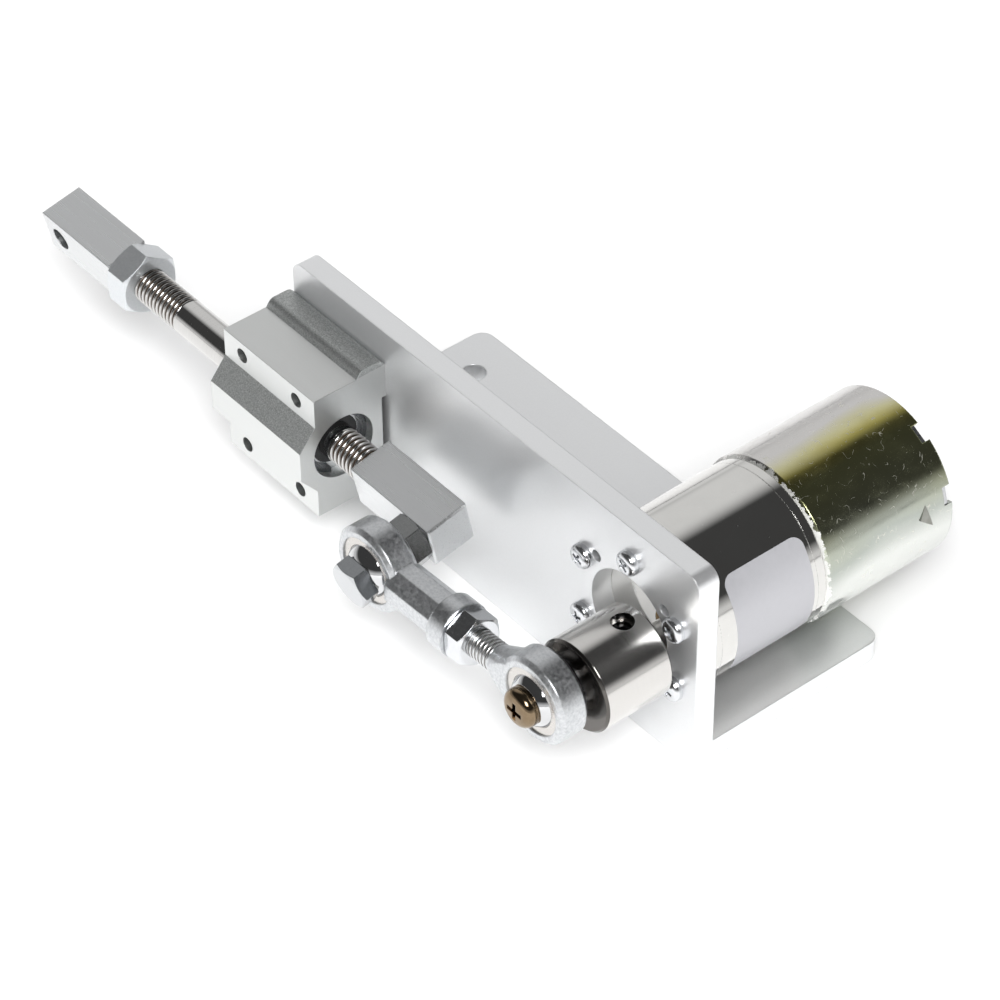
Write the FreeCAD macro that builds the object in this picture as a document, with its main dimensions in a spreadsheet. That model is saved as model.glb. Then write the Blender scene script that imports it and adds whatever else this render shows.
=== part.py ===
import FreeCAD, Part
import math
import os
import re
import Sketcher

# Motor-driven crank and slider on an angle bracket, in millimetres.
# X runs along the bracket towards the crank, Y from the slide to the motor, Z up.
# The origin is the centre of the base hole pattern on the underside of the bracket.

SIZES = [
    # angle bracket
    ("plate_length", 125.0),
    ("leg_height", 50.0),
    ("leg_depth", 50.0),
    ("leg_thick", 5.0),
    ("leg_corner_radius", 3.0),
    ("base_hole_dia", 5.5),
    ("base_hole_left", 10.0),
    ("base_hole_rear", 11.0),
    ("base_hole_span_x", 65.0),
    ("base_hole_span_y", 23.0),
    ("axis_height", 26.0),
    # linear bearing block
    ("slide_out", 11.0),
    ("block_length", 30.0),
    ("block_flange_width", 34.0),
    ("block_flange_depth", 6.0),
    ("block_flange_slope", 1.2),
    ("block_flange_round", 2.0),
    ("block_body_width", 30.6),
    ("block_shoulder_out", 18.0),
    ("block_nose_out", 22.0),
    ("block_nose_width", 17.0),
    ("block_nose_tip_width", 7.2),
    ("block_relief_width", 14.6),
    ("block_relief_depth", 1.0),
    ("block_hole_span_x", 18.0),
    ("block_hole_span_z", 24.0),
    ("block_thread_dia", 4.0),
    ("block_core_dia", 3.3),
    ("block_screw_head_dia", 7.0),
    ("block_screw_head_high", 2.8),
    ("block_screw_grip", 9.0),
    # ball bushing
    ("bushing_dia", 15.0),
    ("bushing_length", 24.0),
    ("bushing_race_wall", 1.85),
    ("bushing_ball_dia", 1.58),
    ("bushing_rows", 4),
    ("bushing_row_balls", 3),
    ("bushing_cage_wall", 0.8),
    ("bushing_seal_thick", 1.0),
    ("circlip_thick", 1.0),
    ("circlip_width", 1.3),
    ("circlip_gap", 4.0),
    # slide shaft and its square bars
    ("slide_dia", 8.0),
    ("slide_plain_length", 53.0),
    ("slide_plain_lead", 23.0),
    ("bar_width", 10.0),
    ("bar_length", 25.0),
    ("bar_edge", 0.4),
    ("bar_hole_dia", 5.2),
    ("bar_hole_end", 5.2),
    ("bar_thread_depth", 12.0),
    ("far_bar_pitch", 122.6),
    ("slide_roll", 12.0),
    ("lock_nut_flats", 13.0),
    ("lock_nut_thick", 6.5),
    # pivot bolt
    ("pivot_dia", 6.0),
    ("pivot_nut_flats", 10.0),
    ("pivot_nut_thick", 5.0),
    ("pivot_head_flats", 9.4),
    ("pivot_head_high", 3.6),
    ("pivot_tail", 1.0),
    # rod ends
    ("rod_length", 50.6),
    ("eye_dia", 19.0),
    ("eye_width", 6.75),
    ("eye_edge", 0.9),
    ("ball_dia", 12.7),
    ("ball_width", 9.0),
    ("race_dia", 14.8),
    ("race_width", 6.0),
    ("shank_flats", 9.2),
    ("shank_length", 22.2),
    ("collar_dia", 12.0),
    ("collar_length", 4.3),
    ("rod_thread_dia", 6.0),
    ("rod_thread_hole", 13.0),
    ("rod_thread_grip", 10.0),
    ("neck_length", 13.7),
    ("neck_dia", 11.4),
    ("jam_nut_flats", 10.0),
    ("jam_nut_thick", 4.8),
    # crank
    ("crank_throw", 2.5),
    ("crank_rest_angle", 190.0),
    ("crank_screw_head_dia", 8.4),
    ("crank_screw_head_high", 3.0),
    ("crank_screw_thread_dia", 5.0),
    ("crank_screw_thread_length", 4.5),
    ("crank_washer_dia", 9.6),
    ("crank_washer_thick", 0.5),
    ("hub_dia", 20.0),
    ("hub_back_gap", 3.5),
    ("hub_edge", 0.5),
    ("hub_bore_depth", 10.0),
    ("set_screw_dia", 4.0),
    ("set_screw_mouth_dia", 4.8),
    ("set_screw_from_back", 4.5),
    ("set_screw_length", 5.0),
    ("open_pivot_gap", 0.3),
    # gearbox
    ("motor_from_right", 19.5),
    ("gearbox_dia", 36.0),
    ("gearbox_length", 30.0),
    ("gearbox_wall", 1.5),
    ("front_plate_thick", 3.0),
    ("rear_plate_thick", 2.0),
    ("face_hole_dia", 22.3),
    ("mount_screw_circle", 31.0),
    ("mount_screw_count", 6),
    ("mount_screw_first", 30.0),
    ("mount_screw_dia", 3.0),
    ("mount_screw_head_dia", 5.4),
    ("mount_screw_head_high", 2.0),
    ("mount_screw_grip", 7.4),
    ("spare_hole_circle", 28.0),
    ("spare_hole_dia", 2.6),
    ("spare_hole_first", 45.0),
    ("spare_hole_count", 4),
    ("output_offset", 7.0),
    ("output_dia", 6.0),
    ("output_flat", 0.5),
    ("output_bush_dia", 10.0),
    ("output_bush_tail", 2.4),
    ("output_bush_taper", 0.8),
    # gear train
    ("gear_module", 0.4),
    ("pinion_teeth", 10),
    ("wheel_teeth", 26),
    ("last_pinion_teeth", 12),
    ("output_teeth", 40),
    ("tooth_tip_half", 0.10),
    ("tooth_root_half", 0.32),
    ("gear_face", 3.2),
    ("stage_pitch", 4.0),
    ("first_stage_gap", 2.5),
    ("gear_pin_dia", 2.0),
    ("output_mesh_angle", 130.0),
    # motor
    ("can_dia", 37.0),
    ("can_length", 33.5),
    ("can_wall", 1.2),
    ("can_front_bevel", 1.0),
    ("can_notch_width", 4.0),
    ("can_notch_depth", 2.0),
    ("can_notch_first", -61.0),
    ("can_notch_step", 43.0),
    ("motor_shaft_dia", 2.0),
    ("motor_bush_dia", 7.0),
    ("motor_bush_length", 3.4),
    ("motor_screw_circle", 17.0),
    ("motor_screw_spread", 40.0),
    ("motor_screw_dia", 2.5),
    ("motor_screw_head_dia", 4.4),
    ("motor_screw_head_high", 1.6),
    ("magnet_length", 18.0),
    ("magnet_thick", 3.9),
    ("magnet_front_gap", 4.0),
    ("magnet_spread", 134.0),
    ("clip_thick", 0.8),
    ("clip_clear_angle", 1.0),
    ("air_gap", 0.5),
    ("core_length", 16.0),
    ("core_hub_dia", 9.0),
    ("core_poles", 5),
    ("core_stem", 3.2),
    ("core_shoe", 1.6),
    ("core_slot", 2.2),
    ("coil_wall", 1.5),
    ("commutator_dia", 8.0),
    ("commutator_length", 5.0),
    ("commutator_gap", 2.0),
    ("commutator_riser_high", 0.4),
    ("commutator_riser_length", 0.6),
    ("brush_width", 4.0),
    ("brush_high", 2.6),
    ("brush_length", 5.5),
    ("brush_box_wall", 1.0),
    ("holder_thick", 1.4),
    ("end_cap_thick", 1.5),
    ("end_cap_recess", 1.0),
    ("end_cap_boss_dia", 10.0),
    ("end_cap_boss_high", 2.0),
    ("terminal_width", 2.8),
    ("terminal_thick", 0.5),
    ("terminal_length", 4.5),
    ("terminal_radius", 12.5),
    # shapes that screws, nuts and gears share
    ("head_rim", 0.45),
    ("head_shoulder", 0.83),
    ("head_shoulder_high", 0.85),
    ("head_crown", 0.5),
    ("hex_bevel_angle", 30.0),
    ("tooth_inward", 1.25),
    ("tooth_outward", 0.85),
    # clearances
    ("seat_gap", 0.02),
    ("running_gap", 0.04),
    ("screw_gap", 0.25),
]

doc = FreeCAD.newDocument("crank_slider_actuator")
sheet = doc.addObject("Spreadsheet::Sheet", "sizes")
for row, (alias, value) in enumerate(SIZES, start=1):
    sheet.set(f"A{row}", alias)
    sheet.set(f"B{row}", str(value))
    sheet.setAlias(f"B{row}", alias)
doc.recompute()

Vector = FreeCAD.Vector
ALIASES = {alias for alias, value in SIZES}
pieces = []


def formula(text):
    """Turn a formula written with the sheet's names into one that a property can be bound to."""
    def cell(word):
        return "sizes." + word[0] if word[0] in ALIASES else word[0]
    return re.sub(r"[a-z][a-z0-9_]*", cell, str(text))


def bind(thing, **properties):
    for name, text in properties.items():
        thing.setExpression(name, formula(text))


def new_body(label):
    body = doc.addObject("PartDesign::Body", label)
    body.Label = label
    return body


def origin_of(body, role):
    return next(feature for feature in body.Origin.OriginFeatures if feature.Role == role)


def place(thing, x, y, z, axis=(1, 0, 0), angle="0"):
    """Bind where a piece stands, and how far it is turned about one axis."""
    thing.Placement = FreeCAD.Placement(Vector(0, 0, 0), FreeCAD.Rotation(Vector(*axis), 1))
    for part, text in (("x", x), ("y", y), ("z", z)):
        thing.setExpression(f"Placement.Base.{part}", formula(text))
    thing.setExpression("Placement.Rotation.Angle", formula(f"({angle}) * 1 deg"))


def keep(thing):
    pieces.append(thing)
    return thing


def sketch(body, plane, outlines=(), circles=(), lift="0", turn="0", about=(0, 0, 1)):
    """A sketch of straight-sided outlines and circles, each corner and radius bound to the sheet."""
    drawing = body.newObject("Sketcher::SketchObject", f"{body.Label}_sketch")
    drawing.AttachmentSupport = [(origin_of(body, plane), "")]
    drawing.MapMode = "FlatFace"
    drawing.AttachmentOffset = FreeCAD.Placement(Vector(0, 0, 0), FreeCAD.Rotation(Vector(*about), 1))
    drawing.setExpression("AttachmentOffset.Base.z", formula(lift))
    drawing.setExpression("AttachmentOffset.Rotation.Angle", formula(f"({turn}) * 1 deg"))
    rules = []
    for corners in outlines:
        count = len(corners)
        first = drawing.GeometryCount
        turns = [math.tau * i / count for i in range(count)]
        start = [Vector(math.cos(turn_at), math.sin(turn_at), 0) for turn_at in turns]
        for i in range(count):
            drawing.addGeometry(Part.LineSegment(start[i], start[(i + 1) % count]), False)
        for i, (across, up) in enumerate(corners):
            drawing.addConstraint(Sketcher.Constraint("Coincident", first + i, 2, first + (i + 1) % count, 1))
            rules.append((Sketcher.Constraint("DistanceX", -1, 1, first + i, 1, start[i].x), across))
            rules.append((Sketcher.Constraint("DistanceY", -1, 1, first + i, 1, start[i].y), up))
    for across, up, radius in circles:
        ring = drawing.addGeometry(Part.Circle(Vector(1, 1, 0), Vector(0, 0, 1), 1), False)
        rules.append((Sketcher.Constraint("DistanceX", -1, 1, ring, 3, 1.0), across))
        rules.append((Sketcher.Constraint("DistanceY", -1, 1, ring, 3, 1.0), up))
        rules.append((Sketcher.Constraint("Radius", ring, 1.0), radius))
    numbers = drawing.addConstraint([rule for rule, text in rules])
    for number, (rule, text) in zip(numbers, rules):
        drawing.setExpression(f"Constraints[{number}]", formula(text))
    return drawing


def pad(body, drawing, length, both_ways=False):
    solid = body.newObject("PartDesign::Pad", f"{body.Label}_pad")
    solid.Profile = drawing
    solid.Midplane = both_ways
    bind(solid, Length=length)
    return solid


def pocket(body, drawing):
    """Cut an outline right through the body, both ways from its plane."""
    cut = body.newObject("PartDesign::Pocket", f"{body.Label}_pocket")
    cut.Profile = drawing
    cut.Type = "ThroughAll"
    cut.Midplane = True
    return cut


def revolve(body, corners):
    """Turn a profile of (radius, height) corners about the body's own Z axis."""
    solid = body.newObject("PartDesign::Revolution", f"{body.Label}_turning")
    solid.Profile = sketch(body, "XZ_Plane", [corners])
    solid.ReferenceAxis = (origin_of(body, "Z_Axis"), [""])
    solid.Angle = 360
    return solid


def groove(body, corners):
    """Turn a profile of (radius, height) corners away from the body about its Z axis."""
    cut = body.newObject("PartDesign::Groove", f"{body.Label}_groove")
    cut.Profile = sketch(body, "XZ_Plane", [corners])
    cut.ReferenceAxis = (origin_of(body, "Z_Axis"), [""])
    cut.Angle = 360
    return cut


def drill(body, radius, length, x="0", y="0", z="0", axis=(1, 0, 0), angle="0"):
    """A round hole from a point; it runs along Z until it is turned about an axis."""
    hole = body.newObject("PartDesign::SubtractiveCylinder", f"{body.Label}_hole")
    bind(hole, Radius=radius, Height=length)
    place(hole, x, y, z, axis, angle)
    return hole


def mill(body, x, y, z, length, width, height):
    """A square-cornered cut from its lowest corner."""
    cut = body.newObject("PartDesign::SubtractiveBox", f"{body.Label}_cut")
    bind(cut, Length=length, Width=width, Height=height)
    place(cut, x, y, z)
    return cut


def ring_of(body, features, count):
    """Repeat features evenly round the body's own Z axis."""
    doc.recompute()
    pattern = body.newObject("PartDesign::PolarPattern", f"{body.Label}_ring")
    pattern.Originals = features
    pattern.Axis = (origin_of(body, "Z_Axis"), [""])
    pattern.Angle = 360
    bind(pattern, Occurrences=count)
    body.Tip = pattern
    return pattern


def round_corners(body, radius, wanted):
    """Fillet the edges that a test picks from the body's present shape."""
    doc.recompute()
    names = [f"Edge{i}" for i, edge in enumerate(body.Shape.Edges, start=1) if wanted(edge)]
    base = body.Tip
    fillet = body.newObject("PartDesign::Fillet", f"{body.Label}_fillet")
    fillet.Base = (base, names)
    bind(fillet, Radius=radius)
    body.Tip = fillet
    return fillet


def bevel(body, size, wanted):
    """Chamfer the edges that a test picks from the body's present shape."""
    doc.recompute()
    names = [f"Edge{i}" for i, edge in enumerate(body.Shape.Edges, start=1) if wanted(edge)]
    base = body.Tip
    chamfer = body.newObject("PartDesign::Chamfer", f"{body.Label}_chamfer")
    chamfer.Base = (base, names)
    bind(chamfer, Size=size)
    body.Tip = chamfer
    return chamfer


def hexagon(flats):
    """Corners of a hexagon of a given width over its flats, with two flats level."""
    reach = f"({flats}) / 2 / cos(30 deg)"
    return [(f"{reach} * cos({60 * i} deg)", f"{reach} * sin({60 * i} deg)") for i in range(6)]


def turned(label, corners):
    body = new_body(label)
    revolve(body, corners)
    return body


def tube(label, outer, inner, length):
    return turned(label, [(inner, "0"), (outer, "0"), (outer, length), (inner, length)])


def turn_off_corners(body, flats, face, inward):
    """Turn the corners off a hexagon at one face; inward is the way into the metal."""
    flat = f"({flats}) / 2"
    beyond = f"(({flats}) / 2 / cos(30 deg) + seat_gap)"
    depth = f"({beyond} - {flat}) * tan(hex_bevel_angle * 1 deg)"
    doc.recompute()
    groove(body, [(flat, face), (beyond, face), (beyond, f"{face} + {inward} * {depth}")])


def hex_nut(label, flats, thick, bore):
    """A hexagon nut along Z from 0, its corners turned off at both faces."""
    body = new_body(label)
    pad(body, sketch(body, "XY_Plane", [hexagon(flats)]), thick)
    turn_off_corners(body, flats, "0", 1)
    turn_off_corners(body, flats, thick, -1)
    drill(body, bore, thick)
    return body


def domed_head(dia, high):
    """Profile of a round screw head, from its rim at height 0 to the middle of its crown."""
    radius = f"({dia}) / 2"
    return [(radius, "0"), (radius, f"({high}) * head_rim"),
            (f"{radius} * head_shoulder", f"({high}) * head_shoulder_high"),
            (f"{radius} * head_crown", high), ("0", high)]


def screw(label, shank, length, head_dia, head_high):
    """A round-headed screw whose head sits on height 0, its shank below."""
    tail = f"-({length})"
    return turned(label, [("0", tail), (shank, tail), (shank, "0")] + domed_head(head_dia, head_high))


def group(label, members):
    """Several like solids that share one node."""
    bundle = doc.addObject("Part::Compound", label)
    bundle.Label = label
    bundle.Links = members
    return keep(bundle)


def polar(centre_x, centre_z, circle, angle):
    return (f"{centre_x} + ({circle}) / 2 * cos(({angle}) * 1 deg)",
            f"{centre_z} + ({circle}) / 2 * sin(({angle}) * 1 deg)")


# Places that several pieces share
LEFT = "(-(base_hole_left + base_hole_span_x / 2))"
FRONT = "(-(leg_depth - base_hole_rear - base_hole_span_y / 2))"
BACK = f"({FRONT} + leg_thick)"
SLIDE_Y = f"({FRONT} - slide_out)"
BLOCK_X = f"({LEFT} + block_length / 2)"
MOTOR_X = f"({LEFT} + plate_length - motor_from_right)"
OUTPUT_X = f"({MOTOR_X} + output_offset)"
CRANK_TURN = "(crank_rest_angle * 1 deg)"
PIN_X = f"({OUTPUT_X} + crank_throw * cos({CRANK_TURN}))"
PIN_Z = f"(axis_height + crank_throw * sin({CRANK_TURN}))"
ROLL = "(slide_roll * 1 deg)"
STACK = "(bar_width / 2 + pivot_nut_thick + ball_width / 2)"
ROD_Y = f"({SLIDE_Y} - {STACK} * cos({ROLL}))"
PIVOT_Z = f"(axis_height - {STACK} * sin({ROLL}))"
PIVOT_X = f"({PIN_X} - sqrt(rod_length ^ 2 - ({PIN_Z} - {PIVOT_Z}) ^ 2))"
ROD_TILT = f"(asin(({PIN_Z} - {PIVOT_Z}) / rod_length) / 1 deg)"
INNER_BAR_X = f"({PIVOT_X} + bar_hole_end - bar_length)"
FAR_BAR_X = f"({PIVOT_X} - far_bar_pitch - bar_hole_end)"
HUB_FRONT = f"({ROD_Y} + ball_width / 2 + crank_washer_thick + open_pivot_gap)"
HUB_BACK = f"({FRONT} - hub_back_gap)"
CASE_FRONT = f"({BACK} + front_plate_thick)"
CAN_FRONT = f"({BACK} + gearbox_length)"
CASE_REAR = f"({CAN_FRONT} - rear_plate_thick)"
TO_FRONT = dict(axis=(1, 0, 0), angle="90")
TO_BACK = dict(axis=(1, 0, 0), angle="-90")
TO_RIGHT = dict(axis=(0, 1, 0), angle="90")
ROLLED = dict(axis=(1, 0, 0), angle="slide_roll")
ROLLED_FRONT = dict(axis=(1, 0, 0), angle="90 + slide_roll")


def along(edge, axis):
    """Whether an edge is straight along one axis."""
    box = edge.BoundBox
    spans = {"x": box.XLength, "y": box.YLength, "z": box.ZLength}
    own = spans.pop(axis)
    return own > 1e-6 and max(spans.values()) < 1e-6


def make_bracket():
    """Extruded angle with drilled faces and four rounded corners."""
    body = new_body("l_bracket")
    rear = f"{FRONT} + leg_depth"
    section = sketch(body, "YZ_Plane", [[
        (FRONT, "0"), (rear, "0"), (rear, "leg_thick"),
        (BACK, "leg_thick"), (BACK, "leg_height"), (FRONT, "leg_height")]], lift=LEFT)
    pad(body, section, "plate_length")
    doc.recompute()
    box = body.Shape.BoundBox

    def free_corner(edge):
        middle = edge.BoundBox.Center
        if middle.x - box.XMin > 1e-6 and box.XMax - middle.x > 1e-6:
            return False
        at_top = along(edge, "y") and box.ZMax - middle.z < 1e-6
        at_rear = along(edge, "z") and box.YMax - middle.y < 1e-6
        return at_top or at_rear
    round_corners(body, "leg_corner_radius", free_corner)
    for side_x in (-1, 1):
        for side_y in (-1, 1):
            drill(body, "base_hole_dia / 2", "leg_thick",
                  f"{side_x} * base_hole_span_x / 2", f"{side_y} * base_hole_span_y / 2", "0")
            drill(body, "block_thread_dia / 2 + screw_gap", "leg_thick",
                  f"{BLOCK_X} + {side_x} * block_hole_span_x / 2", BACK,
                  f"axis_height + {side_y} * block_hole_span_z / 2", **TO_FRONT)
    drill(body, "face_hole_dia / 2", "leg_thick", MOTOR_X, BACK, "axis_height", **TO_FRONT)
    for holes, radius in (("mount_screw", "mount_screw_dia / 2 + screw_gap"),
                          ("spare_hole", "spare_hole_dia / 2")):
        for i in range(int(sheet.get(f"{holes}_count"))):
            x, z = polar(MOTOR_X, "axis_height", f"{holes}_circle",
                         f"{holes}_first + {i} * 360 / {holes}_count")
            drill(body, radius, "leg_thick", x, BACK, z, **TO_FRONT)
    return keep(body)


def make_block():
    """Extruded block with a stepped outline, bored through for the ball bushing."""
    body = new_body("bearing_block")
    upper = [("block_relief_depth", "block_relief_width / 2"),
             ("0", "block_relief_width / 2"),
             ("0", "block_flange_width / 2"),
             ("block_flange_depth", "block_flange_width / 2"),
             ("block_flange_depth + block_flange_slope", "block_body_width / 2"),
             ("block_shoulder_out", "block_body_width / 2"),
             ("block_shoulder_out", "block_nose_width / 2"),
             ("block_nose_out", "block_nose_tip_width / 2")]
    corners = [(f"{FRONT} - ({out})", f"axis_height + {rise}") for out, rise in upper]
    corners += [(f"{FRONT} - ({out})", f"axis_height - {rise}") for out, rise in reversed(upper)]
    pad(body, sketch(body, "YZ_Plane", [corners], lift=LEFT), "block_length")
    doc.recompute()
    box = body.Shape.BoundBox

    def flange_edge(edge):
        rise = edge.BoundBox.Center.z
        return along(edge, "x") and min(box.ZMax - rise, rise - box.ZMin) < 1e-6
    round_corners(body, "block_flange_round", flange_edge)
    drill(body, "bushing_dia / 2", "block_length", LEFT, SLIDE_Y, "axis_height", **TO_RIGHT)
    for side_x in (-1, 1):
        for side_z in (-1, 1):
            for radius, depth in (("block_thread_dia / 2", "block_screw_grip + seat_gap"),
                                  ("block_core_dia / 2", "block_nose_out")):
                drill(body, radius, depth,
                      f"{BLOCK_X} + {side_x} * block_hole_span_x / 2", FRONT,
                      f"axis_height + {side_z} * block_hole_span_z / 2", **TO_FRONT)
    return keep(body)


def make_block_screws():
    """Round-headed screws that hold the block from behind the bracket."""
    members = []
    for side_x in (-1, 1):
        for side_z in (-1, 1):
            member = screw("block_screw", "block_thread_dia / 2 - seat_gap", "leg_thick + block_screw_grip",
                           "block_screw_head_dia", "block_screw_head_high")
            place(member, f"{BLOCK_X} + {side_x} * block_hole_span_x / 2", BACK,
                  f"axis_height + {side_z} * block_hole_span_z / 2", **TO_BACK)
            members.append(member)
    group("block_screws", members)


def make_bushing():
    """Ball bushing: ground sleeve, ball cage, rows of balls, lip seals and circlips."""
    start = f"{BLOCK_X} - bushing_length / 2"
    outer = "bushing_dia / 2 - seat_gap"
    inner = "bushing_dia / 2 - bushing_race_wall"
    sleeve = tube("bushing_sleeve", outer, inner, "bushing_length")
    keep(sleeve)
    place(sleeve, start, SLIDE_Y, "axis_height", **TO_RIGHT)
    ball_ring = "(slide_dia / 2 + running_gap + bushing_ball_dia / 2)"
    cage_length = "(bushing_length - 2 * bushing_seal_thick - 2 * seat_gap)"
    cage = tube("bushing_cage", f"{ball_ring} + bushing_cage_wall / 2",
                f"{ball_ring} - bushing_cage_wall / 2", cage_length)
    slot_width = "(bushing_ball_dia + 2 * seat_gap)"
    slot = mill(cage, "0", f"-{slot_width} / 2", "bushing_seal_thick",
                "bushing_dia / 2", slot_width, f"{cage_length} - 2 * bushing_seal_thick")
    ring_of(cage, [slot], "bushing_rows")
    place(cage, f"{start} + bushing_seal_thick + seat_gap", SLIDE_Y, "axis_height", **TO_RIGHT)
    keep(cage)
    balls = []
    row_length = f"({cage_length} - 2 * bushing_seal_thick - bushing_ball_dia - 2 * seat_gap)"
    for row in range(int(sheet.get("bushing_rows"))):
        turn = f"({row} * 360 / bushing_rows * 1 deg)"
        for i in range(int(sheet.get("bushing_row_balls"))):
            ball = doc.addObject("Part::Sphere", "bushing_ball")
            bind(ball, Radius="bushing_ball_dia / 2")
            place(ball, f"{BLOCK_X} + ({i} / (bushing_row_balls - 1) - 0.5) * {row_length}",
                  f"{SLIDE_Y} + {ball_ring} * cos({turn})", f"axis_height + {ball_ring} * sin({turn})")
            balls.append(ball)
    group("bushing_balls", balls)
    seals = []
    clips = []
    for side in (-1, 1):
        seal = tube("bushing_seal", f"{inner} - seat_gap", "slide_dia / 2 + running_gap",
                    "bushing_seal_thick")
        at = f"{BLOCK_X} + {side} * (bushing_length - bushing_seal_thick) / 2 - bushing_seal_thick / 2"
        place(seal, at, SLIDE_Y, "axis_height", **TO_RIGHT)
        seals.append(seal)
        clip = tube("block_circlip", outer, "bushing_dia / 2 - circlip_width", "circlip_thick")
        mill(clip, "0", "-circlip_gap / 2", "0", "bushing_dia", "circlip_gap", "circlip_thick")
        at = f"{BLOCK_X} + {side} * (bushing_length / 2 + seat_gap + circlip_thick / 2) - circlip_thick / 2"
        place(clip, at, SLIDE_Y, "axis_height", **TO_RIGHT)
        clips.append(clip)
    group("bushing_seals", seals)
    group("block_circlips", clips)


def make_slide():
    """Slide shaft with a thread at each end, a square bar on each, and a lock nut."""
    thread = "slide_dia / 2 - seat_gap"
    shaft_start = f"({FAR_BAR_X} + bar_length - bar_thread_depth)"
    shaft_end = f"({INNER_BAR_X} + bar_thread_depth)"
    plain_start = f"({LEFT} - slide_plain_lead - {shaft_start})"
    plain_end = f"({plain_start} + slide_plain_length)"
    length = f"({shaft_end} - {shaft_start})"
    shaft = turned("slide_shaft", [
        ("0", "0"), (f"{thread} - bar_edge", "0"), (thread, "bar_edge"), (thread, plain_start),
        ("slide_dia / 2", plain_start), ("slide_dia / 2", plain_end), (thread, plain_end),
        (thread, f"{length} - bar_edge"), (f"{thread} - bar_edge", length), ("0", length)])
    place(shaft, shaft_start, SLIDE_Y, "axis_height", **TO_RIGHT)
    keep(shaft)

    half = "bar_width / 2"
    square = [(f"-{half}", f"-{half}"), (half, f"-{half}"), (half, half), (f"-{half}", half)]
    for label, start, hole_at, tapped_at in (
            ("far_bar", FAR_BAR_X, "bar_hole_end", "bar_length - bar_thread_depth - bar_edge"),
            ("inner_bar", INNER_BAR_X, "bar_length - bar_hole_end", "0")):
        bar = new_body(label)
        pad(bar, sketch(bar, "YZ_Plane", [square]), "bar_length")
        bevel(bar, "bar_edge", lambda edge: not along(edge, "x"))
        hole = "pivot_dia / 2 + seat_gap" if label == "inner_bar" else "bar_hole_dia / 2"
        drill(bar, hole, "bar_width", hole_at, half, "0", **TO_FRONT)
        drill(bar, "slide_dia / 2", "bar_thread_depth + bar_edge", tapped_at, "0", "0", **TO_RIGHT)
        place(bar, start, SLIDE_Y, "axis_height", **ROLLED)
        keep(bar)

    nut = hex_nut("lock_nut", "lock_nut_flats", "lock_nut_thick", "slide_dia / 2")
    place(nut, f"{FAR_BAR_X} + bar_length", SLIDE_Y, "axis_height", **TO_RIGHT)
    keep(nut)


def make_ball(label, bore):
    """Pivot ball with flats and a bore, its axis along Z."""
    ball = new_body(label)
    cap = "asin(ball_width / ball_dia)"
    globe = ball.newObject("PartDesign::AdditiveSphere", f"{label}_globe")
    bind(globe, Radius="ball_dia / 2", Angle1=f"-{cap}", Angle2=cap)
    drill(ball, bore, "ball_width", z="-ball_width / 2")
    return keep(ball)


def make_pivot():
    """Bolt, spacer nut and ball of the pivot on the inner bar; they roll with the bar."""
    def outward(distance):
        return (PIVOT_X, f"{SLIDE_Y} - ({distance}) * cos({ROLL})",
                f"axis_height - ({distance}) * sin({ROLL})")
    ball = make_ball("pivot_ball", "pivot_dia / 2 + seat_gap")
    place(ball, *outward(STACK), **ROLLED_FRONT)
    nut = hex_nut("pivot_nut", "pivot_nut_flats", "pivot_nut_thick", "pivot_dia / 2 + seat_gap")
    place(nut, *outward("bar_width / 2"), **ROLLED_FRONT)
    keep(nut)

    bolt = new_body("pivot_bolt")
    pad(bolt, sketch(bolt, "XY_Plane", [hexagon("pivot_head_flats")], turn="30"), "pivot_head_high")
    turn_off_corners(bolt, "pivot_head_flats", "pivot_head_high", -1)
    grip = "(ball_width + pivot_nut_thick + bar_width + pivot_tail)"
    pad(bolt, sketch(bolt, "XY_Plane", circles=[("0", "0", "pivot_dia / 2")], lift=f"-{grip}"), grip)
    place(bolt, *outward(f"{STACK} + ball_width / 2"), **ROLLED_FRONT)
    keep(bolt)


def make_race(label, x, z):
    """Bearing race pressed in the eye, hollowed to the ball."""
    race = tube(label, "race_dia / 2 - seat_gap", "pivot_dia / 2", "race_width")
    hollow = race.newObject("PartDesign::SubtractiveSphere", f"{label}_hollow")
    bind(hollow, Radius="ball_dia / 2 + running_gap")
    place(hollow, "0", "0", "race_width / 2")
    place(race, x, f"{ROD_Y} + race_width / 2", z, **TO_FRONT)
    return keep(race)


def make_eye(body):
    """The flat ring of a rod end round the body's Y axis, with its rims taken off."""
    ring = sketch(body, "XZ_Plane", circles=[("0", "0", "eye_dia / 2")])
    pad(body, ring, "eye_width", both_ways=True)
    bevel(body, "eye_edge", lambda edge: isinstance(edge.Curve, Part.Circle))


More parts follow.
